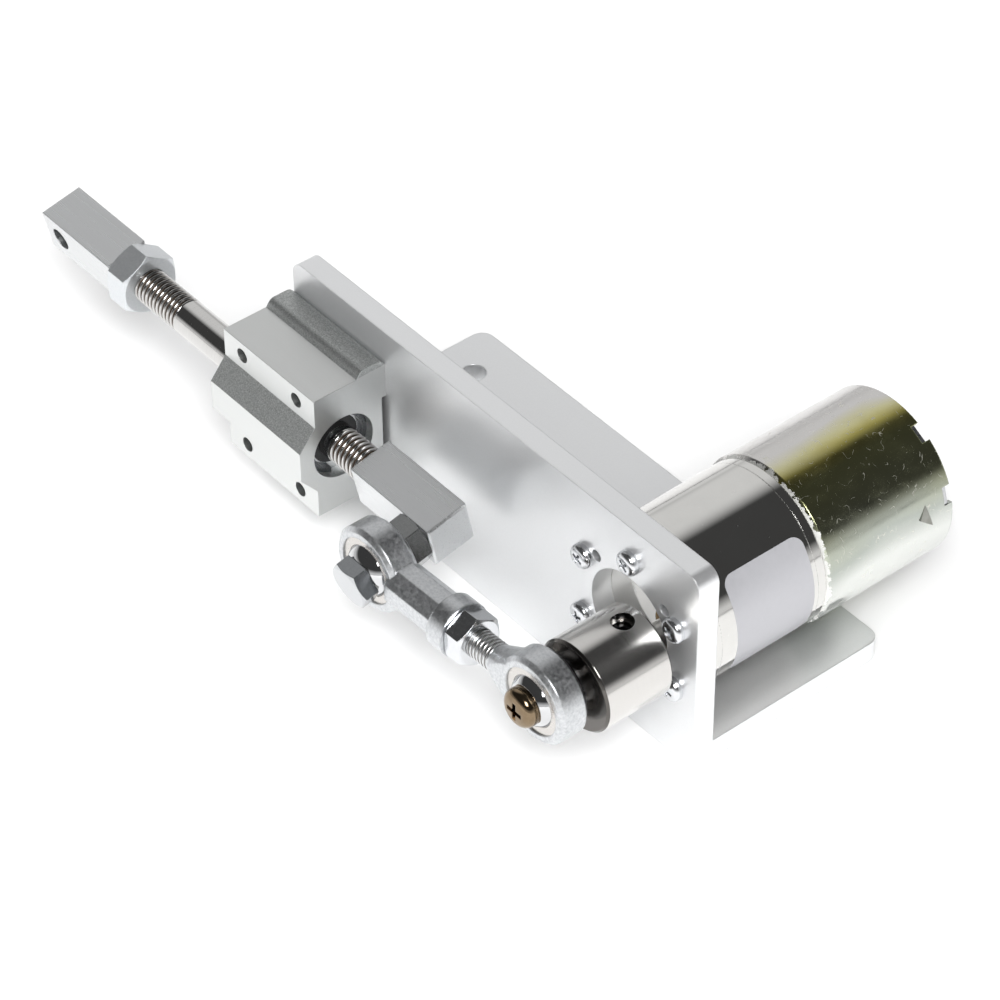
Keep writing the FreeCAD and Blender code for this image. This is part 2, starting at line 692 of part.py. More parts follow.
def make_rod():
    """Two rod ends screwed together, with their jam nut, races, ball and crank screw."""
    tilted = dict(axis=(0, -1, 0), angle=ROD_TILT)

    def on_rod(distance):
        return (f"{PIVOT_X} + ({distance}) * cos({ROD_TILT} * 1 deg)", ROD_Y,
                f"{PIVOT_Z} + ({distance}) * sin({ROD_TILT} * 1 deg)")

    female = new_body("female_rod_end")
    make_eye(female)
    half = "shank_flats / 2"
    cut = "shank_flats / 2 * tan(22.5 deg)"
    octagon = [(half, f"-{cut}"), (half, cut), (cut, half), (f"-{cut}", half),
               (f"-{half}", cut), (f"-{half}", f"-{cut}"), (f"-{cut}", f"-{half}"), (cut, f"-{half}")]
    pad(female, sketch(female, "YZ_Plane", [octagon], lift="race_dia / 2"), "shank_length - race_dia / 2")
    pad(female, sketch(female, "YZ_Plane", circles=[("0", "0", "collar_dia / 2")], lift="shank_length"),
        "collar_length")
    drill(female, "race_dia / 2", "eye_width", y="eye_width / 2", **TO_FRONT)
    drill(female, "rod_thread_dia / 2", "rod_thread_hole", x="shank_length + collar_length - rod_thread_hole",
          **TO_RIGHT)
    place(female, *on_rod("0"), **tilted)
    keep(female)
    make_race("pivot_race", PIVOT_X, PIVOT_Z)

    male = new_body("male_rod_end")
    make_eye(male)
    neck = male.newObject("PartDesign::AdditiveCone", "male_rod_end_neck")
    bind(neck, Radius1="rod_thread_dia / 2 - seat_gap", Radius2="neck_dia / 2",
         Height="neck_length - race_dia / 2")
    place(neck, "-neck_length", "0", "0", **TO_RIGHT)
    for face in ("eye_width / 2", "-eye_width / 2 - neck_dia / 2"):
        mill(male, "-neck_length", face, "-neck_dia / 2", "neck_length", "neck_dia / 2", "neck_dia")
    thread_length = "(rod_length - neck_length - shank_length - collar_length + rod_thread_grip)"
    pad(male, sketch(male, "YZ_Plane", circles=[("0", "0", "rod_thread_dia / 2 - seat_gap")],
                     lift=f"-neck_length - {thread_length}"), thread_length)
    drill(male, "race_dia / 2", "eye_width", y="eye_width / 2", **TO_FRONT)
    place(male, *on_rod("rod_length"), **tilted)
    keep(male)
    make_race("crank_race", PIN_X, PIN_Z)

    nut = new_body("jam_nut")
    nut_start = "shank_length + collar_length"
    pad(nut, sketch(nut, "YZ_Plane", [hexagon("jam_nut_flats")], lift=nut_start), "jam_nut_thick")
    drill(nut, "rod_thread_dia / 2", f"{nut_start} + jam_nut_thick", **TO_RIGHT)
    place(nut, *on_rod("0"), **tilted)
    keep(nut)

    ball = make_ball("crank_ball", "pivot_dia / 2 + seat_gap")
    place(ball, PIN_X, ROD_Y, PIN_Z, **TO_FRONT)
    pin = screw("crank_screw", "pivot_dia / 2", "ball_width + crank_washer_thick",
                "crank_screw_head_dia", "crank_screw_head_high")
    place(pin, PIN_X, f"{ROD_Y} - ball_width / 2", PIN_Z, **TO_FRONT)
    keep(pin)
    washer = tube("crank_washer", "crank_washer_dia / 2", "pivot_dia / 2 + seat_gap", "crank_washer_thick")
    place(washer, PIN_X, f"{ROD_Y} + ball_width / 2", PIN_Z, **TO_BACK)
    keep(washer)


def make_crank():
    """Turned hub on the output shaft, with the screw hole for the crank pin off its centre."""
    length = f"({HUB_BACK} - {HUB_FRONT})"
    rim = "hub_dia / 2"
    hub = turned("crank_hub", [
        ("0", "0"), (f"{rim} - hub_edge", "0"), (rim, "hub_edge"), (rim, f"{length} - hub_edge"),
        (f"{rim} - hub_edge", length), ("0", length)])
    drill(hub, "output_dia / 2 + seat_gap", "hub_bore_depth")
    drill(hub, "crank_screw_thread_dia / 2 + seat_gap", "crank_screw_thread_length",
          f"crank_throw * cos({CRANK_TURN})", f"crank_throw * sin({CRANK_TURN})",
          f"{length} - crank_screw_thread_length")
    drill(hub, "set_screw_dia / 2 + seat_gap", rim, z="set_screw_from_back", **TO_BACK)
    mouth = f"({rim} - output_dia / 2 - set_screw_length)"
    drill(hub, "set_screw_mouth_dia / 2", mouth, y=f"{rim} - {mouth}", z="set_screw_from_back", **TO_BACK)
    place(hub, OUTPUT_X, HUB_BACK, "axis_height", **TO_FRONT)
    keep(hub)

    thread = turned("crank_screw_thread", [
        ("0", "0"), ("crank_screw_thread_dia / 2", "0"),
        ("crank_screw_thread_dia / 2", "crank_screw_thread_length"), ("0", "crank_screw_thread_length")])
    place(thread, PIN_X, HUB_FRONT, PIN_Z, **TO_BACK)
    keep(thread)

    seat = "(output_dia / 2 - output_flat + seat_gap)"
    set_screw = turned("set_screw", [
        ("0", seat), ("set_screw_dia / 2", seat), ("set_screw_dia / 2", f"{seat} + set_screw_length"),
        ("set_screw_dia / 4", f"{seat} + set_screw_length"),
        ("set_screw_dia / 4", f"{seat} + set_screw_length / 2"), ("0", f"{seat} + set_screw_length / 2")])
    place(set_screw, OUTPUT_X, f"{HUB_BACK} - set_screw_from_back", "axis_height")
    keep(set_screw)

    shaft = new_body("output_shaft")
    reach = f"({CASE_REAR} + rear_plate_thick / 2 - {HUB_BACK} + hub_bore_depth - seat_gap)"
    revolve(shaft, [("0", "0"), ("output_dia / 2", "0"), ("output_dia / 2", reach), ("0", reach)])
    flat_length = f"({FRONT} - {HUB_BACK} + hub_bore_depth)"
    mill(shaft, "-output_dia / 2", "output_dia / 2 - output_flat", f"{reach} - {flat_length}",
         "output_dia", "output_flat", flat_length)
    place(shaft, OUTPUT_X, f"{CASE_REAR} + rear_plate_thick / 2", "axis_height", **TO_FRONT)
    keep(shaft)


FIRST_STAGE = f"({CASE_REAR} - first_stage_gap)"
MESH = "(gear_module * (pinion_teeth + wheel_teeth) / 2)"
LAST_MESH = "(gear_module * (last_pinion_teeth + output_teeth) / 2)"
# The second pin is set from the output shaft, and the first from the motor and the second pin
PIN_2 = (f"(output_offset + {LAST_MESH} * cos(output_mesh_angle * 1 deg))",
         f"({LAST_MESH} * sin(output_mesh_angle * 1 deg))")
PIN_2_REACH = f"sqrt({PIN_2[0]} ^ 2 + {PIN_2[1]} ^ 2)"
PIN_1_SIDE = f"sqrt({MESH} ^ 2 - ({PIN_2_REACH} / 2) ^ 2)"
PIN_1 = (f"({PIN_2[0]} / 2 - {PIN_1_SIDE} * {PIN_2[1]} / {PIN_2_REACH})",
         f"({PIN_2[1]} / 2 + {PIN_1_SIDE} * {PIN_2[0]} / {PIN_2_REACH})")
GEAR_AXES = [("0", "0"), PIN_1, PIN_2, PIN_1, PIN_2, ("output_offset", "0")]


def mesh_angle(stage):
    """Direction from the driving to the driven axis of a stage, in degrees."""
    (x0, z0), (x1, z1) = GEAR_AXES[stage - 1], GEAR_AXES[stage]
    return f"(atan2({z1} - ({z0}); {x1} - ({x0})) / 1 deg)"


def add_teeth(body, teeth, turn, start, length):
    """Root cylinder and straight-flanked teeth, one tooth pointing along the given turn."""
    root = f"gear_module * ({teeth} / 2 - tooth_inward)"
    tip = f"gear_module * ({teeth} / 2 + tooth_outward)"
    pad(body, sketch(body, "XY_Plane", circles=[("0", "0", root)], lift=start), length)
    inside = f"({root} - gear_module / 2)"
    tooth = pad(body, sketch(body, "XY_Plane", [[
        (inside, "-tooth_root_half"), (root, "-tooth_root_half"), (tip, "-tooth_tip_half"),
        (tip, "tooth_tip_half"), (root, "tooth_root_half"), (inside, "tooth_root_half")]],
        lift=start, turn=turn), length)
    ring_of(body, [tooth], teeth)


def make_gears():
    """Motor pinion, four compound gears on two pins, and the wheel on the output shaft."""
    stages = len(GEAR_AXES) - 1
    pinion = new_body("motor_pinion")
    add_teeth(pinion, "pinion_teeth", mesh_angle(1), "0", "gear_face")
    drill(pinion, "motor_shaft_dia / 2 + seat_gap", "gear_face")
    place(pinion, MOTOR_X, FIRST_STAGE, "axis_height", **TO_FRONT)
    keep(pinion)
    for stage in range(1, stages + 1):
        last = stage == stages
        teeth = "output_teeth" if last else "wheel_teeth"
        gear = new_body("output_wheel" if last else f"compound_gear_{stage}")
        facing = f"{mesh_angle(stage)} + 180 + 180 / {teeth}"
        add_teeth(gear, teeth, facing, "0", "gear_face")
        if last:
            drill(gear, "output_dia / 2 + seat_gap", "gear_face")
        else:
            small = "last_pinion_teeth" if stage == stages - 1 else "pinion_teeth"
            add_teeth(gear, small, mesh_angle(stage + 1), "gear_face", "stage_pitch")
            drill(gear, "gear_pin_dia / 2 + running_gap", "gear_face + stage_pitch")
        x, z = GEAR_AXES[stage]
        stage_y = f"{FIRST_STAGE} - {stage - 1} * stage_pitch"
        place(gear, f"{MOTOR_X} + {x}", stage_y, f"axis_height + {z}", **TO_FRONT)
        keep(gear)

    pins = []
    for x, z in (PIN_1, PIN_2):
        length = f"({CASE_REAR} - {CASE_FRONT} + rear_plate_thick / 2 + front_plate_thick / 2)"
        pin = doc.addObject("Part::Cylinder", "gear_pin")
        bind(pin, Radius="gear_pin_dia / 2", Height=length)
        place(pin, f"{MOTOR_X} + {x}", f"{CASE_REAR} + rear_plate_thick / 2", f"axis_height + {z}",
              **TO_FRONT)
        pins.append(pin)
    group("gear_pins", pins)


def make_gearbox():
    """Front plate with the output bush, drawn case, and the rear plate that carries the motor."""
    rim = "gearbox_dia / 2"
    front = turned("gearbox_front_plate", [
        ("0", "0"), (rim, "0"), (rim, "front_plate_thick"), ("0", "front_plate_thick")])
    drill(front, "output_bush_dia / 2 + seat_gap", "front_plate_thick", x="output_offset")
    for x, z in (PIN_1, PIN_2):
        drill(front, "gear_pin_dia / 2 + seat_gap", "front_plate_thick / 2 + seat_gap", x, z)
    for i in range(int(sheet.get("mount_screw_count"))):
        x, z = polar("0", "0", "mount_screw_circle", f"mount_screw_first + {i} * 360 / mount_screw_count")
        drill(front, "mount_screw_dia / 2", "front_plate_thick", x, z)
    place(front, MOTOR_X, CASE_FRONT, "axis_height", **TO_FRONT)
    keep(front)

    bush = turned("output_bush", [
        ("output_dia / 2 + running_gap", "0"), ("output_bush_dia / 2", "0"),
        ("output_bush_dia / 2", "front_plate_thick"),
        ("output_bush_dia / 2 * output_bush_taper", "front_plate_thick + output_bush_tail"),
        ("output_dia / 2 + running_gap", "front_plate_thick + output_bush_tail")])
    place(bush, OUTPUT_X, BACK, "axis_height", **TO_BACK)
    keep(bush)

    case = tube("gearbox_case", rim, f"{rim} - gearbox_wall", f"{CASE_REAR} - {CASE_FRONT}")
    place(case, MOTOR_X, CASE_FRONT, "axis_height", **TO_BACK)
    keep(case)

    rear = turned("gearbox_rear_plate", [
        ("0", "0"), (rim, "0"), (rim, "rear_plate_thick"), ("0", "rear_plate_thick")])
    drill(rear, "motor_bush_dia / 2 + seat_gap", "rear_plate_thick")
    depth = "rear_plate_thick / 2 + seat_gap"
    drill(rear, "output_dia / 2 + running_gap", depth, "output_offset", "0", f"rear_plate_thick - ({depth})")
    for x, z in (PIN_1, PIN_2):
        drill(rear, "gear_pin_dia / 2 + seat_gap", depth, x, z, f"rear_plate_thick - ({depth})")
    for side in (-1, 1):
        x, z = polar("0", "0", "motor_screw_circle", f"270 + {side} * motor_screw_spread")
        drill(rear, "motor_screw_dia / 2 + screw_gap", "rear_plate_thick", x, z)
    place(rear, MOTOR_X, CAN_FRONT, "axis_height", **TO_FRONT)
    keep(rear)

    members = []
    for side in (-1, 1):
        member = screw("motor_screw", "motor_screw_dia / 2 - seat_gap", "rear_plate_thick + can_wall",
                       "motor_screw_head_dia", "motor_screw_head_high")
        x, z = polar(MOTOR_X, "axis_height", "motor_screw_circle", f"270 + {side} * motor_screw_spread")
        place(member, x, CASE_REAR, z, **TO_FRONT)
        members.append(member)
    group("motor_screws", members)

    members = []
    for i in range(int(sheet.get("mount_screw_count"))):
        member = screw("mount_screw", "mount_screw_dia / 2 - seat_gap", "mount_screw_grip",
                       "mount_screw_head_dia", "mount_screw_head_high")
        x, z = polar(MOTOR_X, "axis_height", "mount_screw_circle",
                     f"mount_screw_first + {i} * 360 / mount_screw_count")
        place(member, x, FRONT, z, **TO_FRONT)
        members.append(member)
    group("mount_screws", members)


CAN_INSIDE = "(can_dia / 2 - can_wall)"
MAGNET_FRONT = "(can_wall + magnet_front_gap)"
CORE_FRONT = f"({MAGNET_FRONT} + (magnet_length - core_length) / 2)"
CORE_RADIUS = f"({CAN_INSIDE} - magnet_thick - air_gap)"
COMMUTATOR_FRONT = f"({CORE_FRONT} + core_length + coil_wall + commutator_gap)"
CAP_FRONT = "(can_length - end_cap_recess - end_cap_thick)"
NOTCH_TURNS = [f"(can_notch_first + {step} * can_notch_step + {opposite} * 180)"
               for opposite in (0, 1) for step in (0, 1)]


def make_can():
    """Deep-drawn steel can, open at the rear, with rim notches for the end cap's ears."""
    inside = CAN_INSIDE
    can = turned("motor_can", [
        ("motor_bush_dia / 2 + seat_gap", "0"), ("can_dia / 2 - can_front_bevel", "0"),
        ("can_dia / 2", "can_front_bevel"), ("can_dia / 2", "can_length"), (inside, "can_length"),
        (inside, "can_wall"), ("motor_bush_dia / 2 + seat_gap", "can_wall")])
    for side in (-1, 1):
        x, y = polar("0", "0", "motor_screw_circle", f"90 + {side} * motor_screw_spread")
        drill(can, "motor_screw_dia / 2", "can_wall", x, y)
    reach = f"({CAN_INSIDE} - can_wall / 2)"
    side = "(can_notch_width / 2)"
    for turn in NOTCH_TURNS:
        cut = can.newObject("PartDesign::SubtractiveBox", "motor_can_notch")
        bind(cut, Length="can_wall * 2", Width="can_notch_width", Height="can_notch_depth")
        place(cut, f"{reach} * cos({turn} * 1 deg) + {side} * sin({turn} * 1 deg)",
              f"{reach} * sin({turn} * 1 deg) - {side} * cos({turn} * 1 deg)",
              "can_length - can_notch_depth", (0, 0, 1), turn)
    place(can, MOTOR_X, CAN_FRONT, "axis_height", **TO_BACK)
    keep(can)


def place_in_motor(body):
    """Set a piece on the motor axis, its Z running back from the can's front."""
    place(body, MOTOR_X, CAN_FRONT, "axis_height", **TO_BACK)
    return keep(body)


def rectangle(left, right, low, high):
    return [(left, low), (right, low), (right, high), (left, high)]


def add_sector(body, inner, outer, start, length, spread, turn):
    """A curved block round the body's Z axis, centred on a turn."""
    end = f"{start} + {length}"
    solid = body.newObject("PartDesign::Revolution", f"{body.Label}_turning")
    solid.Profile = sketch(body, "XZ_Plane", [rectangle(inner, outer, start, end)],
                           turn=turn, about=(0, 1, 0))
    solid.ReferenceAxis = (origin_of(body, "Z_Axis"), [""])
    solid.Midplane = True
    bind(solid, Angle=spread)
    return solid


def make_field():
    """Two curved magnets against the can, and the spring clips that spread them apart."""
    outer = f"{CAN_INSIDE} - seat_gap"
    magnets = new_body("magnets")
    block = add_sector(magnets, f"{CAN_INSIDE} - magnet_thick", outer, MAGNET_FRONT, "magnet_length",
                       "magnet_spread", "0")
    ring_of(magnets, [block], "2")
    place_in_motor(magnets)
    clips = new_body("magnet_clips")
    strip = add_sector(clips, f"{outer} - clip_thick", outer, MAGNET_FRONT, "magnet_length",
                       "180 - magnet_spread - clip_clear_angle", "90")
    ring_of(clips, [strip], "2")
    place_in_motor(clips)


def make_rotor():
    """Shaft, slotted core with its coils, and commutator."""
    front = f"(-({CAN_FRONT} - {FIRST_STAGE} + gear_face))"
    rear = f"({CAP_FRONT} + end_cap_thick + end_cap_boss_high)"
    radius = "motor_shaft_dia / 2"
    place_in_motor(turned("motor_shaft", [("0", front), (radius, front), (radius, rear), ("0", rear)]))

    core = new_body("rotor_core")
    middle = [("0", "0", "core_hub_dia / 2"), ("0", "0", f"{radius} + seat_gap")]
    pad(core, sketch(core, "XY_Plane", circles=middle, lift=CORE_FRONT), "core_length")
    rim = [("0", "0", CORE_RADIUS), ("0", "0", f"{CORE_RADIUS} - core_shoe")]
    pad(core, sketch(core, "XY_Plane", circles=rim, lift=CORE_FRONT), "core_length")
    stem = pad(core, sketch(core, "XY_Plane", [rectangle(
        "core_hub_dia / 2 - core_shoe / 2", f"{CORE_RADIUS} - core_shoe / 2",
        "-core_stem / 2", "core_stem / 2")],
        lift=CORE_FRONT), "core_length")
    ring_of(core, [stem], "core_poles")
    slot = pocket(core, sketch(core, "XY_Plane", [rectangle(
        f"{CORE_RADIUS} - core_shoe - core_slot / 4", f"{CORE_RADIUS} + core_shoe",
        "-core_slot / 2", "core_slot / 2")],
        turn="180 / core_poles"))
    ring_of(core, [slot], "core_poles")
    place_in_motor(core)

    coils = new_body("rotor_coils")
    side = "core_stem / 2"
    rear = f"({CORE_FRONT} + core_length)"
    loop = [rectangle(f"-{side} - {out}", f"{side} + {out}", f"{CORE_FRONT} - {out}", f"{rear} + {out}")
            for out in ("coil_wall", "seat_gap")]
    inner = "(core_hub_dia / 2 + coil_wall / 2)"
    outer = f"(sqrt(({CORE_RADIUS} - core_shoe - seat_gap) ^ 2 - ({side} + coil_wall) ^ 2))"
    coil = pad(coils, sketch(coils, "YZ_Plane", loop, lift=inner), f"{outer} - {inner}")
    ring_of(coils, [coil], "core_poles")
    place_in_motor(coils)

    radius = "commutator_dia / 2"
    bore = "motor_shaft_dia / 2 + seat_gap"
    end = f"{COMMUTATOR_FRONT} + commutator_length"
    riser = f"{radius} + commutator_riser_high"
    riser_end = f"{COMMUTATOR_FRONT} + commutator_riser_length"
    place_in_motor(turned("commutator", [
        (bore, COMMUTATOR_FRONT), (riser, COMMUTATOR_FRONT), (riser, riser_end),
        (radius, riser_end), (radius, end), (bore, end)]))


TERMINAL_SLOT = rectangle(
    "terminal_radius - terminal_thick / 2 - screw_gap", "terminal_radius + terminal_thick / 2 + screw_gap",
    "-terminal_width / 2 - screw_gap", "terminal_width / 2 + screw_gap")


def make_brush_gear():
    """Plastic brush holder with its brushes and leaf springs."""
    middle = f"({COMMUTATOR_FRONT} + commutator_length / 2)"
    face = "(commutator_dia / 2 + running_gap)"
    tail = f"({face} + brush_length)"
    low = f"({middle} - brush_high / 2)"
    high = f"({middle} + brush_high / 2)"
    brushes = new_body("brushes")
    end_on = rectangle("-brush_width / 2", "brush_width / 2", low, high)
    block = pad(brushes, sketch(brushes, "YZ_Plane", [end_on], lift="motor_shaft_dia / 2"),
                f"{tail} - motor_shaft_dia / 2")
    ring_of(brushes, [block], "2")
    drill(brushes, face, "can_length")
    place_in_motor(brushes)

    holder = new_body("brush_holder")
    plate_front = f"({CAP_FRONT} - holder_thick)"
    disc = [("0", "0", f"{CAN_INSIDE} - seat_gap"), ("0", "0", "end_cap_boss_dia / 2")]
    pad(holder, sketch(holder, "XY_Plane", circles=disc, lift=plate_front), "holder_thick")
    inside = "(brush_width / 2 + seat_gap)"
    outside = f"({inside} + brush_box_wall)"
    box = pad(holder, sketch(holder, "YZ_Plane", [
        rectangle(f"-{outside}", outside, f"{low} - seat_gap - brush_box_wall",
                  f"{plate_front} + holder_thick / 2"),
        rectangle(f"-{inside}", inside, f"{low} - seat_gap", f"{high} + seat_gap")],
        lift="end_cap_boss_dia / 2 + brush_box_wall"), f"{tail} - end_cap_boss_dia / 2 - brush_box_wall")
    ring_of(holder, [box], "2")
    slot = pocket(holder, sketch(holder, "XY_Plane", [TERMINAL_SLOT], turn="90"))
    ring_of(holder, [slot], "2")
    place_in_motor(holder)

    springs = new_body("brush_springs")
    leaf = pad(springs, sketch(springs, "XY_Plane", [[
        (tail, "-brush_width / 2"), (f"{tail} + brush_box_wall / 2", "-brush_width / 2"),
        (f"{tail} + brush_box_wall", "0"), (f"{tail} + brush_box_wall / 2", "brush_width / 2"),
        (tail, "brush_width / 2"), (f"{tail} + brush_box_wall / 2", "0")]],
        lift=low), f"{plate_front} - {low}")
    ring_of(springs, [leaf], "2")
    place_in_motor(springs)


def make_end():
    """Pressed end cap with ears in the can's notches, the two tab terminals and the bushes."""
    cap = new_body("end_cap")
    rear = f"({CAP_FRONT} + end_cap_thick)"
    bush = "(motor_bush_dia / 2 + seat_gap)"
    revolve(cap, [
        (bush, CAP_FRONT), (f"{CAN_INSIDE} - seat_gap", CAP_FRONT), (f"{CAN_INSIDE} - seat_gap", rear),
        ("end_cap_boss_dia / 2", rear), ("end_cap_boss_dia / 2", f"{rear} + end_cap_boss_high"),
        (bush, f"{rear} + end_cap_boss_high")])
    ear = "(can_notch_width / 2 - seat_gap)"
    ear_front = "(can_length - can_notch_depth + seat_gap)"
    for turn in NOTCH_TURNS:
        pad(cap, sketch(cap, "XY_Plane", [rectangle(
            f"{CAN_INSIDE} - can_wall", "can_dia / 2 - can_wall / 4", f"-{ear}", ear)],
            lift=ear_front, turn=turn), f"{rear} - {ear_front}")
    slot = pocket(cap, sketch(cap, "XY_Plane", [TERMINAL_SLOT], turn="90"))
    ring_of(cap, [slot], "2")
    place_in_motor(cap)

    terminals = new_body("terminals")
    start = f"({CAP_FRONT} - holder_thick)"
    tab = pad(terminals, sketch(terminals, "XY_Plane", [rectangle(
        "terminal_radius - terminal_thick / 2", "terminal_radius + terminal_thick / 2",
        "-terminal_width / 2", "terminal_width / 2")], lift=start, turn="90"),
        f"{rear} - {start} + terminal_length")
    ring_of(terminals, [tab], "2")
    place_in_motor(terminals)

    for label, at in (("front_motor_bush", "-rear_plate_thick"),
                      ("rear_motor_bush", f"{rear} + end_cap_boss_high - motor_bush_length")):
        bush = turned(label, [
            ("motor_shaft_dia / 2 + running_gap", at), ("motor_bush_dia / 2", at),
            ("motor_bush_dia / 2", f"{at} + motor_bush_length"),
            ("motor_shaft_dia / 2 + running_gap", f"{at} + motor_bush_length")])
        place_in_motor(bush)


for make in (make_bracket, make_block, make_block_screws, make_bushing, make_slide, make_pivot,
             make_rod, make_crank, make_gears, make_gearbox, make_can, make_field, make_rotor,
             make_brush_gear, make_end):
    make()

doc.recompute()
faults = [thing.Label for thing in doc.Objects if {"Invalid", "Error"} & set(thing.State)]
faults += [piece.Label for piece in pieces if piece.Shape.isNull() or not piece.Shape.isValid()]
if faults:
    raise RuntimeError("not built: " + ", ".join(sorted(set(faults))))

os.makedirs("parts", exist_ok=True)
for piece in pieces:
    piece.Shape.exportStep(f"parts/{piece.Label}.step")
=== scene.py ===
import math

import bpy
from mathutils import Matrix, Vector


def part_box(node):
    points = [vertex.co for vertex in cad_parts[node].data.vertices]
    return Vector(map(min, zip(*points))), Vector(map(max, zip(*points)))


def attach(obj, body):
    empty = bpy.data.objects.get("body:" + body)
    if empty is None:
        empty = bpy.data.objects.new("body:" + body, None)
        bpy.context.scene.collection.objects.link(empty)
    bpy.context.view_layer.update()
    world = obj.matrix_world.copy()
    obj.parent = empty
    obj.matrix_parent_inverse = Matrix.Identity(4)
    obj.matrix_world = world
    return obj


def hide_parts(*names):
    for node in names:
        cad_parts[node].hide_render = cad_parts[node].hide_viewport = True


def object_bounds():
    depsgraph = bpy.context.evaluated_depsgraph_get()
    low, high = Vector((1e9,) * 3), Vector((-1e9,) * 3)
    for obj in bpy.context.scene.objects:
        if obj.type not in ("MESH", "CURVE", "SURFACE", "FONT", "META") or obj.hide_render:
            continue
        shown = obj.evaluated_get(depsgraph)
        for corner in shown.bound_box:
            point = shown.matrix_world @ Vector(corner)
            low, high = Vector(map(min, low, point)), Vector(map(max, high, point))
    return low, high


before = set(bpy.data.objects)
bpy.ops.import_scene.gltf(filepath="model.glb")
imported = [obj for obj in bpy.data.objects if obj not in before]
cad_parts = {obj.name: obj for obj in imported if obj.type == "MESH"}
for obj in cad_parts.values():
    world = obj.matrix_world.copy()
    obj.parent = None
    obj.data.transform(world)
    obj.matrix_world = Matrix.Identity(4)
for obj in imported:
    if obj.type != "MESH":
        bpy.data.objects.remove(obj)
cad_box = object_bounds()

# Angle bracket: a length of extruded aluminium angle, sawn off and drilled.
# It is bead blasted and clear anodised, and tumbling has softened every edge.
MM = 0.001
# Most of a noise's values lie between these two
NOISE_LOW = 0.3
NOISE_HIGH = 0.7


def linear(code):
    """Linear colour of an sRGB hex value."""
    parts = [int(code[i:i + 2], 16) / 255 for i in (0, 2, 4)]
    return tuple(c / 12.92 if c <= 0.04045 else ((c + 0.055) / 1.055) ** 2.4 for c in parts) + (1.0,)


def add(tree, kind, inputs=None, **settings):
    """Add a node with its settings; an input takes a value, a socket, or a node's first output."""
    made = tree.nodes.new(kind)
    for name, value in settings.items():
        setattr(made, name, value)
    for key, value in (inputs or {}).items():
        if isinstance(value, bpy.types.Node):
            value = value.outputs[0]
        if isinstance(value, bpy.types.NodeSocket):
            tree.links.new(value, made.inputs[key])
        else:
            made.inputs[key].default_value = value
    return made


def finish(name, light, dark, gloss, grain_mm, drawn=(1, 1, 1), relief_mm=0.0, edge_mm=0.2, metallic=1.0):
    """A surface whose tone, gloss and relief drift together with one grain, on softened edges.
    gloss is its lowest and highest roughness; a small number in drawn stretches the grain along that axis."""
    material = bpy.data.materials.new(name)
    material.use_nodes = True
    tree = material.node_tree
    tree.nodes.clear()
    place = add(tree, "ShaderNodeTexCoord", name="place")
    spread = add(tree, "ShaderNodeMapping", {"Vector": place.outputs["Object"], "Scale": drawn})
    grain = add(tree, "ShaderNodeTexNoise", {
        "Vector": spread, "Scale": 1 / (grain_mm * MM), "Detail": 3.0, "Roughness": 0.6})
    tone = add(tree, "ShaderNodeMix", {0: grain, 6: linear(dark), 7: linear(light)},
               data_type="RGBA", name="tone")
    rough = add(tree, "ShaderNodeMapRange", {
        "Value": grain, "From Min": NOISE_LOW, "From Max": NOISE_HIGH,
        "To Min": gloss[0], "To Max": gloss[1]}, name="rough")
    edge = add(tree, "ShaderNodeBevel", {"Radius": edge_mm * MM}, samples=4)
    bump = add(tree, "ShaderNodeBump", {"Height": grain, "Distance": relief_mm * MM, "Normal": edge},
               name="bump")
    shader = add(tree, "ShaderNodeBsdfPrincipled", {
        "Base Color": tone.outputs[2], "Metallic": metallic, "Roughness": rough, "Normal": bump},
        name="shader")
    add(tree, "ShaderNodeOutputMaterial", {"Surface": shader})
    return material


def dress(material, *names):
    """Give CAD pieces their finish."""
    for name in names:
        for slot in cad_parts[name].material_slots:
            slot.material = material


# Bead blasting leaves an even satin grey, and the clear oxide on it scatters part of the light like chalk;
# the grit is drawn four times too coarse, so that its faint sparkle shows
anodised = finish("bead_blasted_anodised_aluminium", "ECEDEE", "E4E5E6", (0.32, 0.40), 0.4,
                  relief_mm=0.006, edge_mm=0.35, metallic=0.85)
dress(anodised, "l_bracket")

# Bearing block: an aluminium extrusion, sawn to length, bored and tapped, then etched and clear anodised.
# Its flat faces are smooth; the slopes beside the nose and the round flanges keep the die's grainy skin.
BLOCK_BODY_HALF = 15.5 * MM
# A normal's Y times its Z: nothing on a flat face, a half on a slope of 45 degrees
FLAT_LEAN = 0.05
SLOPE_LEAN = 0.25
SKIN_ROUGH = 0.5
PIT_WIDE = 0.3 * MM
PIT_DEEP = 0.04 * MM
PIT_FLOOR = 0.35
PIT_BRIM = 0.65

# Etching leaves the flats an even pale satin; the die's lines along the block are drawn a few times too
# wide, so that they show. The die's skin on the slopes is darker and pitted like fine sandpaper.
extruded = finish("extruded_aluminium", "DEDFDE", "D6D8D7", (0.34, 0.42), 0.5, (0.02, 1, 1),
                  relief_mm=0.003, edge_mm=0.22)
low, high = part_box("bearing_block")
tree = extruded.node_tree
place = tree.nodes["place"].outputs["Object"]
height = add(tree, "ShaderNodeSeparateXYZ", {"Vector": place})
rise = add(tree, "ShaderNodeMath", {0: height.outputs["Z"], 1: (low.z + high.z) / 2}, operation="SUBTRACT")
off_middle = add(tree, "ShaderNodeMath", {0: rise}, operation="ABSOLUTE")
flange = add(tree, "ShaderNodeMath", {0: off_middle, 1: BLOCK_BODY_HALF}, operation="GREATER_THAN")
normal = add(tree, "ShaderNodeNewGeometry").outputs["True Normal"]
facing = add(tree, "ShaderNodeSeparateXYZ", {"Vector": normal})
lean = add(tree, "ShaderNodeMath", {0: facing.outputs["Y"], 1: facing.outputs["Z"]}, operation="MULTIPLY")
